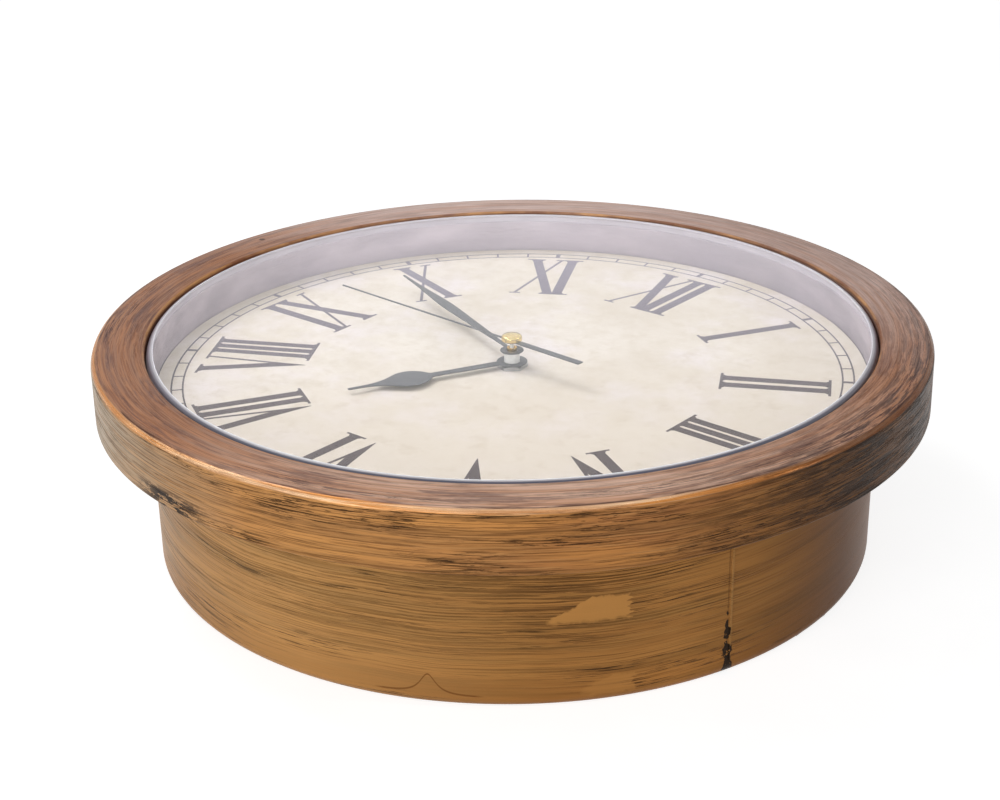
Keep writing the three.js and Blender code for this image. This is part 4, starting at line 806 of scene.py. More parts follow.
# %% Seam, keyhole and screw holes
SEAM_HALF, SEAM_PROUD, SEAM_LOW, SEAM_HIGH, SEAM_TAPER = 0.65, 0.22, 4.5, 49.8, 0.45
KEYHOLE_Y, SLOT_LENGTH, SLOT_RADIUS, HEAD_RADIUS = 75.2, 11.0, 3.0, 5.6
RIVET_X, RIVET_HOLE = 13.0, 1.7
MAGNET_POCKET = ((102.6, 109.2), (-6.3, 6.3), (45.3, 52.0))
CASE_SCREW_Y, CASE_SCREW_Z, PILOT_RADIUS = 13.5, 39.3, 1.4
seams = []
for seam_angle in (SEAM_ANGLE, SEAM_ANGLE + 180):
    through = (CASE_FOOT - 1.5, CASE_FOOT + SEAM_PROUD)
    points, faces = block(through, (-SEAM_HALF, SEAM_HALF), (SEAM_LOW, SEAM_HIGH))
    lean = (points[:, 2:3] - SEAM_LOW) / (SEAM_HIGH - SEAM_LOW) * (CASE_RIM - CASE_FOOT) * [1, 0, 0]
    narrow = np.where(points[:, :1] > CASE_FOOT, [1, SEAM_TAPER, 1], [1, 1, 1])
    seams.append(((points + lean) * narrow @ rotation(seam_angle, "Z").T, faces))
carved(case, [block(*PAD), block(*PILLAR), *ribs, *seams], "UNION")
slot_end = KEYHOLE_Y + SLOT_LENGTH
cuts = [
    block(*MAGNET_POCKET),
    turned(rod_profile(HEAD_RADIUS, -2, 4), 48, (0, KEYHOLE_Y)),
    block((-SLOT_RADIUS, SLOT_RADIUS), (KEYHOLE_Y, slot_end), (-1.5, 3.5)),
    turned(rod_profile(SLOT_RADIUS, -1.8, 3.8), 32, (0, slot_end)),
]
cuts += [turned(rod_profile(RIVET_HOLE, -2, 4), 24, (side * RIVET_X, KEYHOLE_Y)) for side in (-1, 1)]
pilot_profile = rod_profile(PILOT_RADIUS, -120, -112.3)
cuts += [turned(pilot_profile, 24, (side * CASE_SCREW_Y, CASE_SCREW_Z), "X") for side in (-1, 1)]
carved(case, cuts, "DIFFERENCE")
fitted(case, "case", bronze_case, ["case_shell"], "bronze_paint")

# %% [markdown]
# ## Lens
#
# The lens is a shallow dish of clear acrylic, 1.4 mm thick, with a rolled edge that stands on the ledge of
# the well. It bends the view of the dial a little. Its edge carries a white line that is a painted highlight,
# and a painted dark refraction at the front. An anti-glare coat halves its mirror image, so its index lies
# below that of bare acrylic. Light for the dial comes straight through: a lens that casts glass shadows would
# leave the dial grainy and dark. The pane runs a little into the rolled edge, which is hazed by the mould and
# almost opaque, so the joint between them makes no broken glints.

# %% Lens
LENS_RADIUS = 113.3
LENS_TOP = SHOULDER - 0.3
LENS_WALL = 1.4
LENS_ROUND = 2.1
LENS_OVERLAP = 0.3
COATED_INDEX = 1.22
lens_centre = LENS_RADIUS - LENS_ROUND
roll_middle = LENS_TOP - LENS_ROUND - 0.02
pane_profile = rod_profile(lens_centre + LENS_OVERLAP, LENS_TOP - LENS_WALL, LENS_TOP, 0.12)
edge_profile = profile_of(
    arc(lens_centre, roll_middle, LENS_ROUND - LENS_WALL, 90, 0, 8), (LENS_RADIUS - LENS_WALL, LENS_SEAT),
    (LENS_RADIUS, LENS_SEAT), arc(lens_centre, roll_middle, LENS_ROUND, 0, 90, 12),
)
clear, add = empty_material("coated_clear_acrylic")
wipe = mottle(add, millimetres(add), 30.0, 0.35, 0.75, 4, (3, 1, 1), 4)
glass = add("BsdfPrincipled", {
    "Base Color": "#FDFDFF", "Transmission Weight": 1.0, "IOR": COATED_INDEX,
    "Roughness": add("MapRange", [wipe, 0, 1, 0.0, 0.03]),
})
through = add("BsdfTransparent", {"Color": "#F7F7F9"})
shadow_ray = add("LightPath").outputs["Is Shadow Ray"]
add("OutputMaterial", {"Surface": add("MixShader", [shadow_ray, glass, through])})
fitted(linked("lens_pane", turned(pane_profile, RING_COLUMNS)), "door", clear, ["lens"], "clear_lens")


def edge_finish(add):
    """Acrylic that is hazed by the mould: lilac white, with a bluish grey rim painted darker at the front as
    a dark refraction, and a white crown line that is a painted highlight, whitest at the front.
    """
    path, distance, height, place = round_the_ring(add, LENS_RADIUS, 1.0)
    haze = mottle(add, place, 40.0, 0.35, 0.65, 44)
    on_top = add("MapRange", [height, LENS_TOP - LENS_WALL, LENS_TOP - LENS_WALL + 0.3])
    rim = all_of(add, on_top, add("MapRange", [distance, lens_centre + 0.75, lens_centre + 1.05]))
    # The white crown line is a painted highlight, and the rim's darker front is a painted dark refraction.
    crown_highlight = all_of(add, on_top, add("MapRange", [distance, lens_centre + 0.75, lens_centre + 0.5]))
    front = towards(add, path, -50, 40, 84)
    return {"Base Color": painted(
        add, "#CFC9D1", (haze, 1, "#C2BCC5"), (rim, 1, painted(add, "#A39AA6", (front, 1, "#6F7486"))),
        (crown_highlight, 1, painted(add, "#D9D5DC", (front, 1, "#F4F3F6"))),
    )}


hazed = {"Transmission Weight": 0.08, "IOR": 1.49, "Roughness": 0.35, "Specular IOR Level": 0.3}
hazed_acrylic = surface("mould_hazed_acrylic_rim", hazed, edge_finish)
rolled_edge = linked("lens_rolled_edge", turned(edge_profile, RING_COLUMNS))
fitted(rolled_edge, "door", hazed_acrylic, slot="clear_lens")

# %% [markdown]
# ## Dial
#
# The dial is a card with a parchment look: a warm off-white with soft yellow and lilac clouds and a fine
# fibre. It is printed in a dark brown grey with a minute track and Roman numerals that stand with their
# feet to the middle. The print is made as very thin prisms, 0.02 mm high, so it stays sharp in any view.

# %% Dial card
CARD_LOW, CARD_HIGH = limits("dial_card")
DIAL_FACE = CARD_HIGH[2]
CARD_BORE = 3.7
SHADED_WAY = (0.64, -0.77, 0.0)
PARCHMENT_CLOUDS = {
    "broad": (38.0, 0.35, 0.65, 7, 1, 3),
    "lilac": (22.0, 0.5, 0.7, 17, 1, 3),
    "spots": (6.0, 0.45, 0.7, 27, 1, 4),
    "grains": (1.6, 0.45, 0.65, 29, 1, 4, 0.7),
    "stains": (9.0, 0.54, 0.72, 33, 1, 5, 0.7),
    "fibre": (0.35, 0.35, 0.65, 37, (9, 1, 1)),
}


def parchment_finish(add):
    """Warm off-white with clouds of 20 to 40 mm, stains of 9 mm and fibres of 0.35 mm, with painted shade
    towards the near side.
    """
    place = millimetres(add)
    cut = mottles(add, place, PARCHMENT_CLOUDS)
    onward = add("VectorMath", [place, SHADED_WAY], operation="DOT_PRODUCT")
    # Painted shade: the card turns darker and beiger towards the near side.
    near_side_shade = add("MapRange", [onward, -10.0, 70.0, 0.0, 0.75])
    stains = all_of(add, cut.stains, add("MapRange", [onward, -60.0, 20.0, 0.0, 0.4]))
    colour = painted(
        add, "#DFD7CA", (cut.broad, 1, "#D3C9B9"), (cut.lilac, 0.6, "#E2DADC"), (cut.spots, 0.45, "#C9BDA8"),
        (cut.grains, 0.2, "#C4B8A6"), (cut.fibre, 0.08, "#A89878"),
        (near_side_shade, 1, "#CFC3B0"), (stains, 1, "#B7A68C"),
    )
    return {"Base Color": colour, "Normal": add("Bump", {"Height": cut.fibre, "Distance": 0.01 * MM})}


parchment = surface("printed_parchment_card", {"Roughness": 0.8}, parchment_finish)
card_profile = ring_profile(CARD_BORE, CARD_HIGH[0], CARD_LOW[2], DIAL_FACE, 0.05)
card = linked("dial_card_disc", turned(card_profile, 192))
fitted(card, "door", parchment, ["dial_card"], "dial_card_stock")

# %% Strokes of the print
INK = 0.02
LAYER = 0.002
THICK, THIN = 3.4, 1.05
SERIF = 0.85
WEDGE = 12.0


def slab(corners, layer):
    """A flat four-cornered prism of ink on the dial, lifted a hair more for each layer under it."""
    high = DIAL_FACE + INK + layer * LAYER
    points = np.concatenate([np.c_[corners, np.full(4, DIAL_FACE)], np.c_[corners, np.full(4, high)]])
    faces = [(3, 2, 1, 0), (4, 5, 6, 7), (0, 1, 5, 4), (1, 2, 6, 5), (2, 3, 7, 6), (3, 0, 4, 7)]
    return points, faces


def stroke(foot, top, across, width):
    """A stroke of a letter: its middle goes from one place across at the foot to another at the top."""
    at_foot, at_top = across
    half = width / 2
    return [(at_foot - half, foot), (at_foot + half, foot), (at_top + half, top), (at_top - half, top)]


def serif(left, right, at):
    """A thin bar across a foot or a top."""
    half = SERIF / 2
    return [(left, at - half), (right, at - half), (right, at + half), (left, at + half)]


def bracket(middle, half, at, inwards):
    """The sloped shoulders where a thick stroke widens into its serif."""
    wide, rise = half + 1.1, inwards * 1.4
    return [(middle - wide, at), (middle + wide, at), (middle + half, at + rise), (middle - half, at + rise)]


# %% Letters
def uprights(foot, top, middles, width=THICK):
    """Uprights that share one serif at the foot and one at the top. Each is (place at foot, place at top)."""
    over = width / 2 + 2.0
    parts = [serif(middles[0][end] - over, middles[-1][end] + over, at) for end, at in enumerate((foot, top))]
    for at_foot, at_top in middles:
        parts.append(stroke(foot, top, (at_foot, at_top), width))
        parts += [bracket(at_foot, width / 2, foot, 1), bracket(at_top, width / 2, top, -1)]
    return parts


def letter_x(foot, top, thick, thin):
    """A thick stroke from the upper left to the lower right, and a thin one across it."""
    return [
        stroke(foot, top, thick, THICK), stroke(foot, top, thin, THIN),
        serif(thick[1] - 3.4, thick[1] + 3.0, top), serif(thin[1] - 2.0, thin[1] + 1.8, top),
        serif(thin[0] - 1.8, thin[0] + 2.0, foot), serif(thick[0] - 3.0, thick[0] + 3.4, foot),
        bracket(thick[1] + 0.3, THICK / 2, top, -1), bracket(thick[0] - 0.3, THICK / 2, foot, 1),
    ]


def letter_v(foot, top, apex, thick_top, thin_top):
    """A thick and a thin stroke that run into one wedge above the pointed foot."""
    share = WEDGE / (top - foot)
    thick_left, thick_right = thick_top - THICK / 2, thick_top + THICK / 2
    thin_left, thin_right = thin_top - THIN / 2, thin_top + THIN / 2
    left = apex + (thick_left - apex) * share
    right = apex + (thin_right - apex) * share
    join = foot + WEDGE
    return [
        [(apex - 0.12, foot - 0.3), (apex + 0.12, foot - 0.3), (right, join), (left, join)],
        [(left, join), (left + THICK, join), (thick_right, top), (thick_left, top)],
        [(right - THIN, join), (right, join), (thin_right, top), (thin_left, top)],
        serif(thick_top - 3.6, thick_top + 3.6, top), serif(thin_top - 2.0, thin_top + 2.0, top),
        bracket(thick_top + 0.2, THICK / 2, top, -1),
    ]


# Distances of feet and tops from the middle of the dial, then places across, plus to the reader's right
NUMERALS = {
    12: letter_x(64.9, 98.6, (1.9, -8.1), (-10.4, 1.0)) + uprights(64.9, 98.6, [(4.0, 4.0), (8.9, 8.9)]),
    1: uprights(65.2, 98.6, [(2.5, 3.0)]),
    2: uprights(66.0, 99.3, [(1.0, 2.6), (6.4, 7.8)]),
    3: uprights(67.6, 101.0, [(-0.2, 0.8), (3.9, 4.9), (8.0, 9.1)], 3.0),
    4: uprights(69.6, 101.4, [(0.3, 0.3)]) + letter_v(69.7, 101.4, 8.4, 1.6, 11.2),
    5: letter_v(69.7, 101.4, -1.2, -7.6, 1.6),
    6: letter_v(69.6, 101.4, -5.4, -12.0, -2.8) + uprights(69.0, 101.4, [(2.5, 3.3)]),
    7: letter_v(67.6, 100.6, -6.0, -12.6, -3.2) + uprights(67.3, 100.6, [(-0.4, -0.2), (4.8, 5.0)]),
    8: letter_v(65.6, 98.2, -7.6, -14.6, -4.2)
       + uprights(65.5, 98.2, [(-0.6, 1.3), (3.6, 5.3), (7.9, 9.5)], 2.9),
    9: uprights(65.2, 99.4, [(-9.4, -9.3)]) + letter_x(65.2, 99.4, (4.2, -3.9), (-7.1, 6.1)),
    10: letter_x(66.3, 100.2, (3.2, -3.8), (-8.1, 4.9)),
    11: letter_x(65.9, 100.2, (1.6, -6.9), (-9.9, 2.1)) + uprights(65.9, 100.2, [(4.7, 6.1)]),
}
print(len(NUMERALS), "numerals of", sum(map(len, NUMERALS.values())), "pieces")

# %% Print
TRACK_OUTER, TRACK_INNER = 106.6, 103.1
TRACK_LINE = 0.55
TICK, HOUR_TICK = 0.7, 1.5
REFLECTION_WAY = (-0.62, 0.78, 0.0)


def on_the_dial(corners, hour):
    """Turns (across, outwards) into x and y at an hour: outwards on its ray, across to the reader's right."""
    angle = math.radians(90 - 30 * hour)
    across, outwards = np.asarray(corners, float).T
    x = outwards * math.cos(angle) + across * math.sin(angle)
    y = outwards * math.sin(angle) - across * math.cos(angle)
    return np.stack([x, y], axis=1)[::-1]


ink = [slab(on_the_dial(corners, hour), layer)
       for hour, strokes in NUMERALS.items() for layer, corners in enumerate(strokes)]
for minute in range(60):
    tick = stroke(TRACK_INNER, TRACK_OUTER, (0.0, 0.0), TICK if minute % 5 else HOUR_TICK)
    ink.append(slab(on_the_dial(tick, minute / 5), 1))
for radius in (TRACK_OUTER, TRACK_INNER):
    line = ring_profile(radius - TRACK_LINE / 2, radius + TRACK_LINE / 2, DIAL_FACE, DIAL_FACE + INK)
    ink.append(turned(line, 288))


def ink_finish(add):
    """Dark brown grey, thinner in spots of 1 mm, and lightened to lilac grey towards the far side by a
    painted reflection of the lens.
    """
    place = millimetres(add)
    thin_spots = mottle(add, place, 1.2, 0.45, 0.7, 8, detail=3)
    upward = add("VectorMath", [place, REFLECTION_WAY], operation="DOT_PRODUCT")
    # A painted reflection of the lens: the ink turns lilac grey towards the far side.
    lens_reflection = add("MapRange", [upward, -40.0, 90.0, 0.0, 0.92])
    return {"Base Color": painted(add, "#3A2A28", (thin_spots, 0.4, "#5E4E48"), (lens_reflection, 1, "#86808C"))}


printing_ink = surface("matt_printing_ink", {"Roughness": 0.7}, ink_finish)
fitted(linked("dial_print", joined(*ink)), "door", printing_ink)

# %% [markdown]
# ## Hands
#
# Each hand was stamped from thin sheet and painted grey. It is a leaf that swells and narrows to a point,
# with a round eye that presses onto its pipe. The leaf is a surface of two parameters: one runs along the
# hand, the other runs round a flat section with rounded rims. Its half width follows a smooth curve through
# a few points.

# %% Leaves
def blade(along, half, low, high, rim, angle):
    """A flat leaf: at each place along it, a closed section of the half width there, with rounded rims.

    The first and the last section close on their own middle. The whole is turned to the hand's angle."""
    corner = np.radians([0, 30, 60, 90])
    sweep_y, sweep_z = rim * np.cos(corner), rim * np.sin(corner)
    inner = np.maximum(half - rim, 0.02)[:, None]
    tight = np.minimum(half, rim)[:, None] / rim
    top, bottom = high - rim, low + rim
    right = inner + sweep_y * tight
    y = np.concatenate([right, -right[:, ::-1], -right, right[:, ::-1]], axis=1)
    z = np.concatenate([top + sweep_z, top + sweep_z[::-1], bottom - sweep_z, bottom - sweep_z[::-1]])
    x = np.broadcast_to(along[:, None], y.shape)
    grid = np.stack([x, y, np.broadcast_to(z, y.shape)], axis=-1)
    ends = [np.broadcast_to([along[i], 0.0, (low + high) / 2], grid[0].shape) for i in (0, -1)]
    grid = np.concatenate([ends[0][None], grid, ends[1][None]])
    points = grid.reshape(-1, 3) @ rotation(angle, "Z").T
    return points, grid_faces(len(grid), grid.shape[1], False, True)


def smooth_outline(shares, length, half_width, start, steps=90):
    """Half widths at even steps, on the cubic curve that meets each share with an even slope."""
    along, across = np.asarray(shares, float).T
    place = np.linspace(start / length, 1, steps)
    slope = np.gradient(across, along)
    k = np.clip(np.searchsorted(along, place, side="right") - 1, 0, len(along) - 2)
    span = along[k + 1] - along[k]
    t = (place - along[k]) / span
    curve = across[k] * (2 * t ** 3 - 3 * t ** 2 + 1) + slope[k] * span * (t ** 3 - 2 * t ** 2 + t)
    curve += across[k + 1] * (3 * t ** 2 - 2 * t ** 3) + slope[k + 1] * span * (t ** 3 - t ** 2)
    return place * length, np.maximum(curve, 0.03) * half_width


def hand_finish(add):
    """Satin grey paint over sheet steel, with a faint run of brush lines and darker spots."""
    place = millimetres(add)
    lines = mottle(add, place, 0.5, 0.35, 0.65, 12, 14, 3)
    spots = mottle(add, place, 2.5, 0.4, 0.65, 13)
    colour = painted(add, "#525456", (lines, 1, "#626466"), (spots, 0.3, "#484A4E"))
    return {"Base Color": colour, "Normal": add("Bump", {"Height": lines, "Distance": 0.006 * MM})}


hand_paint = surface("satin_grey_paint_on_sheet_steel", {"Roughness": 0.42, "Metallic": 0.25}, hand_finish)

# %% Hands
# Places along a hand and half widths there, both as shares of the largest
HOUR_SHARES = [
    (0.05, 0.26), (0.25, 0.25), (0.47, 0.24), (0.495, 0.25), (0.505, 0.3), (0.515, 0.44), (0.545, 0.72),
    (0.59, 0.95), (0.635, 1), (0.68, 0.92), (0.72, 0.7), (0.77, 0.42), (0.82, 0.24), (0.88, 0.14), (1, 0.09),
]
MINUTE_SHARES = [
    (0.02, 0.36), (0.06, 0.36), (0.13, 0.44), (0.22, 0.6), (0.36, 0.78), (0.48, 0.94), (0.58, 1),
    (0.66, 0.86), (0.76, 0.58), (0.86, 0.34), (1, 0.18),
]
NEEDLE_SHARES = [(0, 1), (0.3, 0.8), (1, 0.65)]
TAIL_ALONG, TAIL_HALF = np.array([-28.5, -27.9, -2.4, -1.4]), np.array([1.15, 1.15, 1.15, 0.8])
HAND_RIM = 0.09
EYE_PROUD = 0.015
HAND_LIFT = 0.02
# Each row: node, shares, length, half width, start, radius of the eye, radius of the bore, angle
HANDS = {
    "hour": ("hour_hand", HOUR_SHARES, 54.4, 5.7, 3.4, 4.85, 2.6, -118.2),
    "minute": ("minute_hand", MINUTE_SHARES, 79.5, 1.95, 2.4, 3.7, 1.7, 157.2),
    "second": ("second_hand", NEEDLE_SHARES, 77.6, 0.4, 1.4, 2.6, 0.8, 176.5),
}
for body, (node, shares, length, half_width, start, eye, bore, angle) in HANDS.items():
    low, high = limits(node)[0][2], limits(node)[1][2]
    low += 0 if body == "second" else HAND_LIFT
    parts = [blade(*smooth_outline(shares, length, half_width, start), low, high, HAND_RIM, angle)]
    if body == "second":
        parts.append(blade(TAIL_ALONG, TAIL_HALF, low, high, HAND_RIM, angle))
    columns = 48 if body == "second" else 64
    parts.append(turned(ring_profile(bore, eye, low, high + EYE_PROUD, HAND_RIM), columns))
    name = node + ("_needle" if body == "second" else "_leaf")
    fitted(linked(name, joined(*parts)), body, hand_paint, [node], "hand_paint")

# %% [markdown]
# ## Finishes of the inner pieces
#
# Each piece behind the dial gets the finish of what it is made of: moulded plastic with a fine grain,
# plated steel, turned brass, enamelled wire, a green board. Each is two close colours in grains of a size
# in mm.

# %% Finishes of the inner pieces
def grained(name, first, second, size, depth, stretch=1, **inputs):
    """A finish of two close colours in grains of that size in mm, with a bump of that depth in mm."""
    def finish(add):
        place = millimetres(add)
        grain = mottle(add, place, size, 0.35, 0.65, 18, stretch, 3)
        clouds = mottle(add, place, size * 12, 0.3, 0.7, 19)
        share = add("Math", [all_of(add, grain, 0.6), all_of(add, clouds, 0.4)])
        bump = add("Bump", {"Height": grain, "Distance": depth * MM})
        return {"Base Color": painted(add, first, (share, 1, second)), "Normal": bump}
    return surface(name, {key.title(): value for key, value in inputs.items()}, finish)


black_abs = grained("textured_black_abs", "#2E2B29", "#403B38", 0.5, 0.02, roughness=0.55)
grey_abs = grained("smooth_grey_abs", "#3A3A3D", "#46474A", 0.7, 0.01, roughness=0.45)
white_acetal = grained("white_acetal", "#DADAD4", "#E8E8E2", 0.6, 0.004, roughness=0.4)
zinc_steel = grained(
    "zinc_plated_steel", "#A8ABAE", "#BEC0C2", 0.25, 0.004, (6, 1, 1), roughness=0.32, metallic=1.0
)
turned_brass = grained("turned_brass", "#C9A050", "#E3BE6E", 0.12, 0.003, 12, roughness=0.18, metallic=1.0)
polished_brass = grained(
    "polished_brass", "#DCC080", "#F2DEA6", 0.12, 0.001, 12, roughness=0.14, metallic=1.0
)
ferrite = grained("sintered_ferrite", "#3B3C40", "#55565A", 0.15, 0.01, roughness=0.6)
copper_wire = grained(
    "enamelled_copper_wire", "#A4562A", "#C27640", 0.14, 0.03, (1, 30, 30), roughness=0.35, metallic=0.9
)
green_board = grained("green_solder_mask", "#245A38", "#2F6F46", 1.4, 0.01, roughness=0.4)

# %% Sleeve of the battery
BATTERY_Y, BATTERY_Z = -19.4, 44.6
LIP_RADIUS = 6.0


def battery_finish(add):
    """A sleeve printed in blue with a pale band, and bare steel inside its rolled lips."""
    place = millimetres(add)
    part = add("SeparateXYZ", [place]).outputs
    sides = [add("Math", [part[1], BATTERY_Y], operation="SUBTRACT"),
             add("Math", [part[2], BATTERY_Z], operation="SUBTRACT")]
    square = add("Math", [all_of(add, side, side) for side in sides])
    from_axis = add("Math", [square], operation="SQRT")
    bare = add("MapRange", [from_axis, LIP_RADIUS + 0.1, LIP_RADIUS - 0.1])
    band = all_of(add, add("MapRange", [part[0], 10.0, 10.3]), add("MapRange", [part[0], 20.3, 20.0]))
    lines = mottle(add, place, 0.3, 0.35, 0.65, 22, (1, 30, 30))
    colour = painted(add, "#27445F", (lines, 1, "#2E4E6E"), (band, 1, "#B9BEC4"), (bare, 1, "#B4B6B8"))
    return {"Base Color": colour, "Metallic": bare}


printed_sleeve = surface("printed_shrink_sleeve", {"Roughness": 0.3}, battery_finish)
print("finishes ready")

# %% [markdown]
# ## Pieces that keep the frame's shapes
#
# Flat mouldings, stampings and wheels already have their true shapes in the frame. A copy of each has its
# triangles joined into flats, and a bevel rounds its edges as the mould or the press would. The radius is
# 0.4 mm on plastic walls, 0.15 mm on sheet steel and less on the wheels.

# %% Pieces that keep the frame's shapes
FLAT_WITHIN = 0.5
BEVEL_ABOVE = 40


def softened(name, body, slot, material, width):
    """A copy of a node of the frame with its flats joined and its edges rounded by that width in mm."""
    mesh = nodes[name].data.copy()
    mesh.transform(nodes[name].matrix_world)
    shape = bmesh.new()
    shape.from_mesh(mesh)
    bmesh.ops.remove_doubles(shape, verts=shape.verts, dist=SAME_PLACE)
    flat = math.radians(FLAT_WITHIN)
    bmesh.ops.dissolve_limit(shape, angle_limit=flat, verts=shape.verts, edges=shape.edges)
    shape.to_mesh(mesh)
    shape.free()
    tidy(mesh, 180)
    piece = bpy.data.objects.new(name + "_finished", mesh)
    bpy.context.scene.collection.objects.link(piece)
    bevel = piece.modifiers.new("rounded_edges", "BEVEL")
    bevel.width = width * MM
    bevel.segments = 2
    bevel.limit_method = "ANGLE"
    bevel.angle_limit = math.radians(BEVEL_ABOVE)
    return fitted(piece, body, material, [name], slot)


PLAIN_PIECES = [
    ("case", "dark_plastic", black_abs, 0.4, ["shelf_upper", "shelf_lower", "divider_left", "divider_right"]),
    ("case", "steel", zinc_steel, 0.15, ["keyhole_plate", "hinge_case_leaf"]),
    ("case", "magnet", ferrite, 0.4, ["catch_magnet"]),
    ("door", "dark_plastic", black_abs, 0.4, ["dial_plate", "back_cover"]),
    ("door", "dark_plastic", grey_abs, 0.4, ["movement_housing", "movement_cover"]),
    ("door", "white_plastic", white_acetal, 0.1, ["middle_plate"]),
    ("door", "steel", zinc_steel, 0.15, ["hinge_door_leaf", "keeper_plate", "stator_plate"]),
    ("door", "steel", zinc_steel, 0.05, ["contact_positive", "contact_negative"]),
    ("door", "circuit_board", green_board, 0.08, ["circuit_board"]),
    ("door", "copper_winding", copper_wire, 0.05, ["coil"]),
    ("door", "brass", turned_brass, 0.1, ["dial_bush"]),
    ("minute", "brass", turned_brass, 0.05, ["minute_pipe"]),
    ("hour", "white_plastic", white_acetal, 0.05, ["hour_wheel"]),
    ("motion", "white_plastic", white_acetal, 0.05, ["motion_wheel"]),
    ("setting", "white_plastic", white_acetal, 0.2, ["set_knob"]),
    ("second", "white_plastic", white_acetal, 0.05, ["seconds_wheel"]),
    ("third", "white_plastic", white_acetal, 0.05, ["third_wheel"]),
    ("centre", "white_plastic", white_acetal, 0.05, ["centre_wheel"]),
    ("fifth", "white_plastic", white_acetal, 0.05, ["fifth_wheel"]),
    ("rotor", "magnet", ferrite, 0.05, ["rotor"]),
]
for body, slot, finish, width, names in PLAIN_PIECES:
    for name in names:
        softened(name, body, slot, finish, width)

# %% [markdown]
# ## Turned steel and the battery
#
# Screws have a domed head with a crossed recess and a thread of rings 0.6 mm apart. Rivets and the hinge
# pin have domed ends. The battery is a can with a rolled lip at each end and a nub.

# %% Screws
THREAD_PITCH = 0.6
ROOT_SHARE = 0.86


def screw(name, body, place, seat, sizes, axis="Z"):
    """A screw whose head stands below its seat. sizes: radii of shank and head, rise of the head, length."""
    shank, head, rise, length = sizes
    root = shank * ROOT_SHARE
    crests = np.arange(0.4, length - 0.8, THREAD_PITCH)
    thread = [point for z in crests for point in ((shank, z), (root, z + THREAD_PITCH / 2))]
    profile = profile_of(
        (0, -rise), (head * 0.5, -rise), (head * 0.8, -rise * 0.82),
        (head * 0.95, -rise * 0.5), (head, -rise * 0.2),
        (head - 0.05, 0), (shank, 0), thread, (root, length - 0.5), (shank * 0.3, length), (0, length),
    ) + [0, seat]
    shape = linked(name + "_finished", turned(profile, 40, place, axis))
    arm, half = head * 0.58, head * 0.11
    deep = (seat - rise - 0.5, seat - rise * 0.35)
    recess = []
    for long_way, short_way in ((arm, half), (half, arm)):
        across = (place[0] - long_way, place[0] + long_way)
        along = (place[1] - short_way, place[1] + short_way)
        recess.append(block(across, along, deep) if axis == "Z" else block(deep, across, along))
    carved(shape, recess, "DIFFERENCE")
    return fitted(shape, body, zinc_steel, [name], "steel")


# Radii of shank and head, rise of the head, length
COVER_SCREW = (1.5, 2.9, 1.6, 9.8)
CASE_SCREW = (1.1, 1.9, 0.6, 3.6)
DOOR_SCREW = (1.1, 1.9, 0.6, 4.6)
SCREW_REACH = 85.52
COVER_SEAT, CASE_SEAT, DOOR_SEAT = 50.6, -116.2, 49.4
for number, (x, y) in enumerate([(1, 1), (-1, 1), (-1, -1), (1, -1)], 1):
    screw(f"cover_screw_{number}", "door", (x * SCREW_REACH, y * SCREW_REACH), COVER_SEAT, COVER_SCREW)
for number, side in enumerate((-1, 1), 1):
    case_place = (side * CASE_SCREW_Y, CASE_SCREW_Z)
    screw(f"hinge_case_screw_{number}", "case", case_place, CASE_SEAT, CASE_SCREW, "X")
    screw(f"hinge_door_screw_{number}", "door", (DOOR_SCREW_X, side * DOOR_SCREW_Y), DOOR_SEAT, DOOR_SCREW)

# %% Rivets, pin and battery
RIVET_SHANK, RIVET_HEAD, RIVET_DOME = 1.4, 2.6, 0.8
PLATE_TOP = 3.2
dome = np.radians(np.linspace(0, 90, 9))
rivet_profile = profile_of(
    (0, 0.3), (RIVET_SHANK, 0.3), (RIVET_SHANK, PLATE_TOP), (RIVET_HEAD, PLATE_TOP),
    np.stack([RIVET_HEAD * np.cos(dome), PLATE_TOP + 0.1 + RIVET_DOME * np.sin(dome)], axis=1),
)
for side, x in (("left", -RIVET_X), ("right", RIVET_X)):
    rivet = linked(f"keyhole_rivet_{side}_finished", turned(rivet_profile, 40, (x, KEYHOLE_Y)))
    fitted(rivet, "case", zinc_steel, [f"keyhole_rivet_{side}"], "steel")

HINGE_AXIS = (-117.7, 47.9)
pin_end = profile_of((1.0, 18.3), (1.6, 18.3), (1.6, 18.7), (1.45, 18.95), (1.1, 19.1), (0, 19.1))
pin_profile = profile_of((pin_end * [1, -1])[::-1], pin_end)
pin = linked("hinge_pin_finished", turned(pin_profile, 40, HINGE_AXIS, "Y"))
fitted(pin, "case", zinc_steel, ["hinge_pin"], "steel")

CAN, NUB_RADIUS, NUB_RISE, CAN_ROUND = 7.1, 2.75, 1.2, 0.6
FLAT_END, NUB_END = -24.4, 26.1
shoulder = NUB_END - NUB_RISE
battery_profile = profile_of(
    (0, FLAT_END + 0.15), (5.6, FLAT_END + 0.15), (5.8, FLAT_END),
    arc(CAN - CAN_ROUND, FLAT_END + CAN_ROUND, CAN_ROUND, -90, 0, 5), (CAN, shoulder - 3.2),
    (CAN - 0.15, shoulder - 2.9), (CAN - 0.15, shoulder - 2.3), (CAN, shoulder - 2.0),
    arc(CAN - CAN_ROUND, shoulder - CAN_ROUND, CAN_ROUND, 0, 90, 5), (5.8, shoulder), (5.6, shoulder - 0.2),
    (NUB_RADIUS + 0.2, shoulder - 0.2), (NUB_RADIUS, shoulder), (NUB_RADIUS, NUB_END - 0.3),
    (NUB_RADIUS - 0.3, NUB_END), (0, NUB_END),
)
battery = linked("battery_finished", turned(battery_profile, 72, (BATTERY_Y, BATTERY_Z), "X"))
fitted(battery, "door", printed_sleeve, ["battery"], "battery_wrap")

# %% [markdown]
# The cover of the movement carries a raised double arrow round the setting knob. It is a strip along an
# arc: its half width is even in the middle, and it widens and runs to a point over the last part at both
# ends.

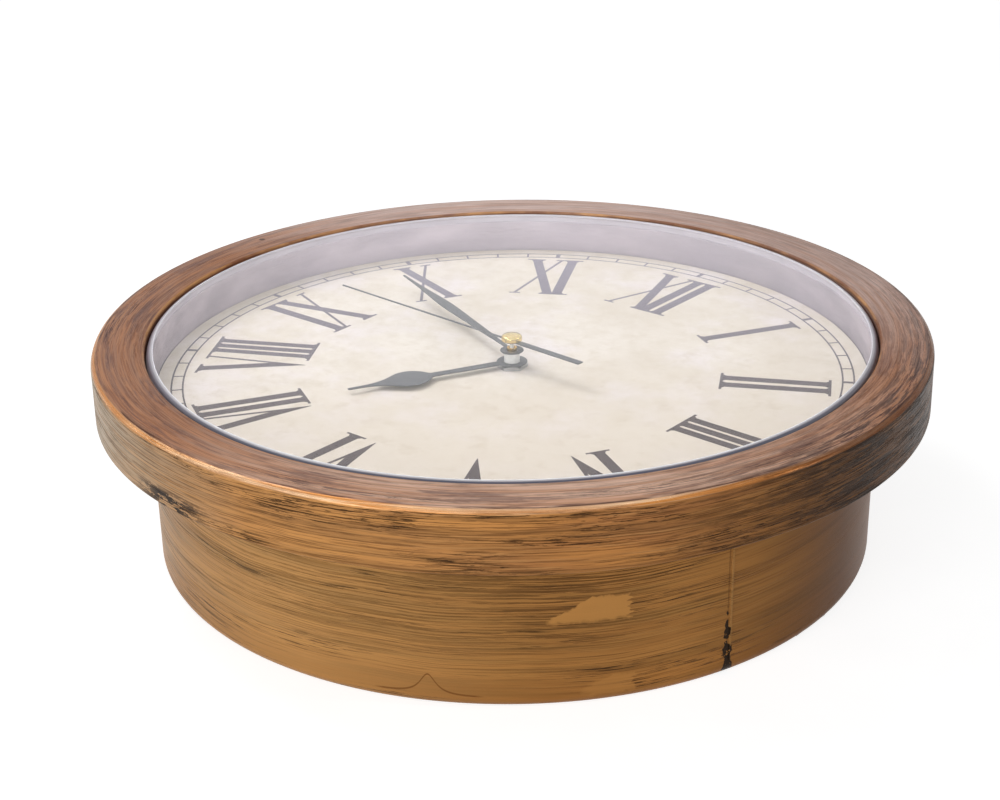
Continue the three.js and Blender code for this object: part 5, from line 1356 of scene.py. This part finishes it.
# %% Double arrow round the knob
KNOB_Y = 14.7
ARROW_RADIUS, ARROW_HALF, ARROW_HEAD = 7.3, 0.28, 0.95
ARROW_POINTS, HEAD_POINTS = 63, 7
COVER_UNDER, ARROW_TOP = 36.95, 37.3


def strip(middle, half, low, high):
    """A flat strip along a path of (x, y) points with a half width at each, closed at both ends."""
    way = np.gradient(middle, axis=0)
    way /= np.linalg.norm(way, axis=1, keepdims=True)
    across = np.stack([-way[:, 1], way[:, 0]], axis=1) * half[:, None]
    left, right = middle + across, middle - across
    corners = ((left, low), (right, low), (right, high), (left, high))
    grid = np.stack([np.c_[side, np.full(len(side), z)] for side, z in corners], axis=1)
    ends = [np.broadcast_to([*middle[i], (low + high) / 2], grid[0].shape) for i in (0, -1)]
    grid = np.concatenate([ends[0][None], grid, ends[1][None]])
    return grid.reshape(-1, 3), grid_faces(len(grid), 4, False, True)


sweep = np.radians(np.linspace(28, 152, ARROW_POINTS))
steps = np.arange(ARROW_POINTS)
from_end = np.minimum(steps, steps[::-1]) / HEAD_POINTS
arrow_half = np.where(from_end < 1, from_end * ARROW_HEAD, ARROW_HALF)
arrow_path = np.stack([ARROW_RADIUS * np.cos(sweep), KNOB_Y + ARROW_RADIUS * np.sin(sweep)], axis=1)
arrow = linked("setting_arrow", strip(arrow_path, arrow_half, COVER_UNDER, ARROW_TOP))
fitted(arrow, "door", grey_abs, slot="dark_plastic")

# %% [markdown]
# ## Hub
#
# In the middle a hexagon nut holds the movement to the dial. Above it stand the hour pipe, the minute pipe
# and a brass cap on the arbor of the second hand. The nut is a ring whose outer radius follows a hexagon,
# and a cone cuts its corners, as on any turned nut.

# %% Hub
NUT_CORNER, NUT_BORE, NUT_ANGLE, NUT_COLUMNS = 5.0, 3.6, -21.0, 96
CAP_BORE, CAP_ROUND = 0.8, 0.9


def nut_shell(apothem, bore, low, high, angle):
    """A hexagon ring: the outer radius at an angle is the apothem over the cosine from the nearest flat.

    A cone of 30 degrees takes the corners off above."""
    turn = np.linspace(0, 2 * np.pi, NUT_COLUMNS, endpoint=False)
    off = (turn + np.pi / 6) % (np.pi / 3) - np.pi / 6
    outer = apothem / np.cos(off)
    circle = apothem * 0.97
    drop = high - (outer - circle) * math.tan(math.radians(30))
    full = np.ones_like(turn)
    radius = np.stack([bore * full, outer, outer, circle * full, bore * full + 0.25, bore * full], axis=1)
    height = np.stack([low * full, low * full, drop, high * full, high * full, high * full - 0.25], axis=1)
    spin = turn[:, None] + np.pi / 6 + math.radians(angle)
    points = np.stack([radius * np.cos(spin), radius * np.sin(spin), height], axis=-1)
    return points.reshape(-1, 3), grid_faces(NUT_COLUMNS, 6, True, True)


nut_low, nut_high = limits("dial_nut")
nut = nut_shell(NUT_CORNER * math.cos(math.pi / 6), NUT_BORE, nut_low[2], nut_high[2], NUT_ANGLE)
fitted(linked("hexagon_nut", nut), "door", zinc_steel, ["dial_nut"], "steel")

cap_low, cap_high = limits("second_cap")
cap_radius, cap_foot, cap_top = cap_high[0], cap_low[2], cap_high[2]
cap_profile = profile_of(
    (0, cap_top - 0.9), (CAP_BORE, cap_top - 0.9), (CAP_BORE, cap_foot), (cap_radius - 0.1, cap_foot),
    (cap_radius, cap_foot + 0.1), (cap_radius, cap_foot + 0.7),
    arc(cap_radius - CAP_ROUND, cap_foot + CAP_ROUND, CAP_ROUND, 0, 60, 5)[1:],
    (cap_radius * 0.5, cap_top - 0.12), (0, cap_top),
)
fitted(linked("second_hand_cap", turned(cap_profile, 64)), "second", polished_brass, ["second_cap"], "brass")

# %% Finish
bpy.context.scene.view_settings.view_transform = "Standard"
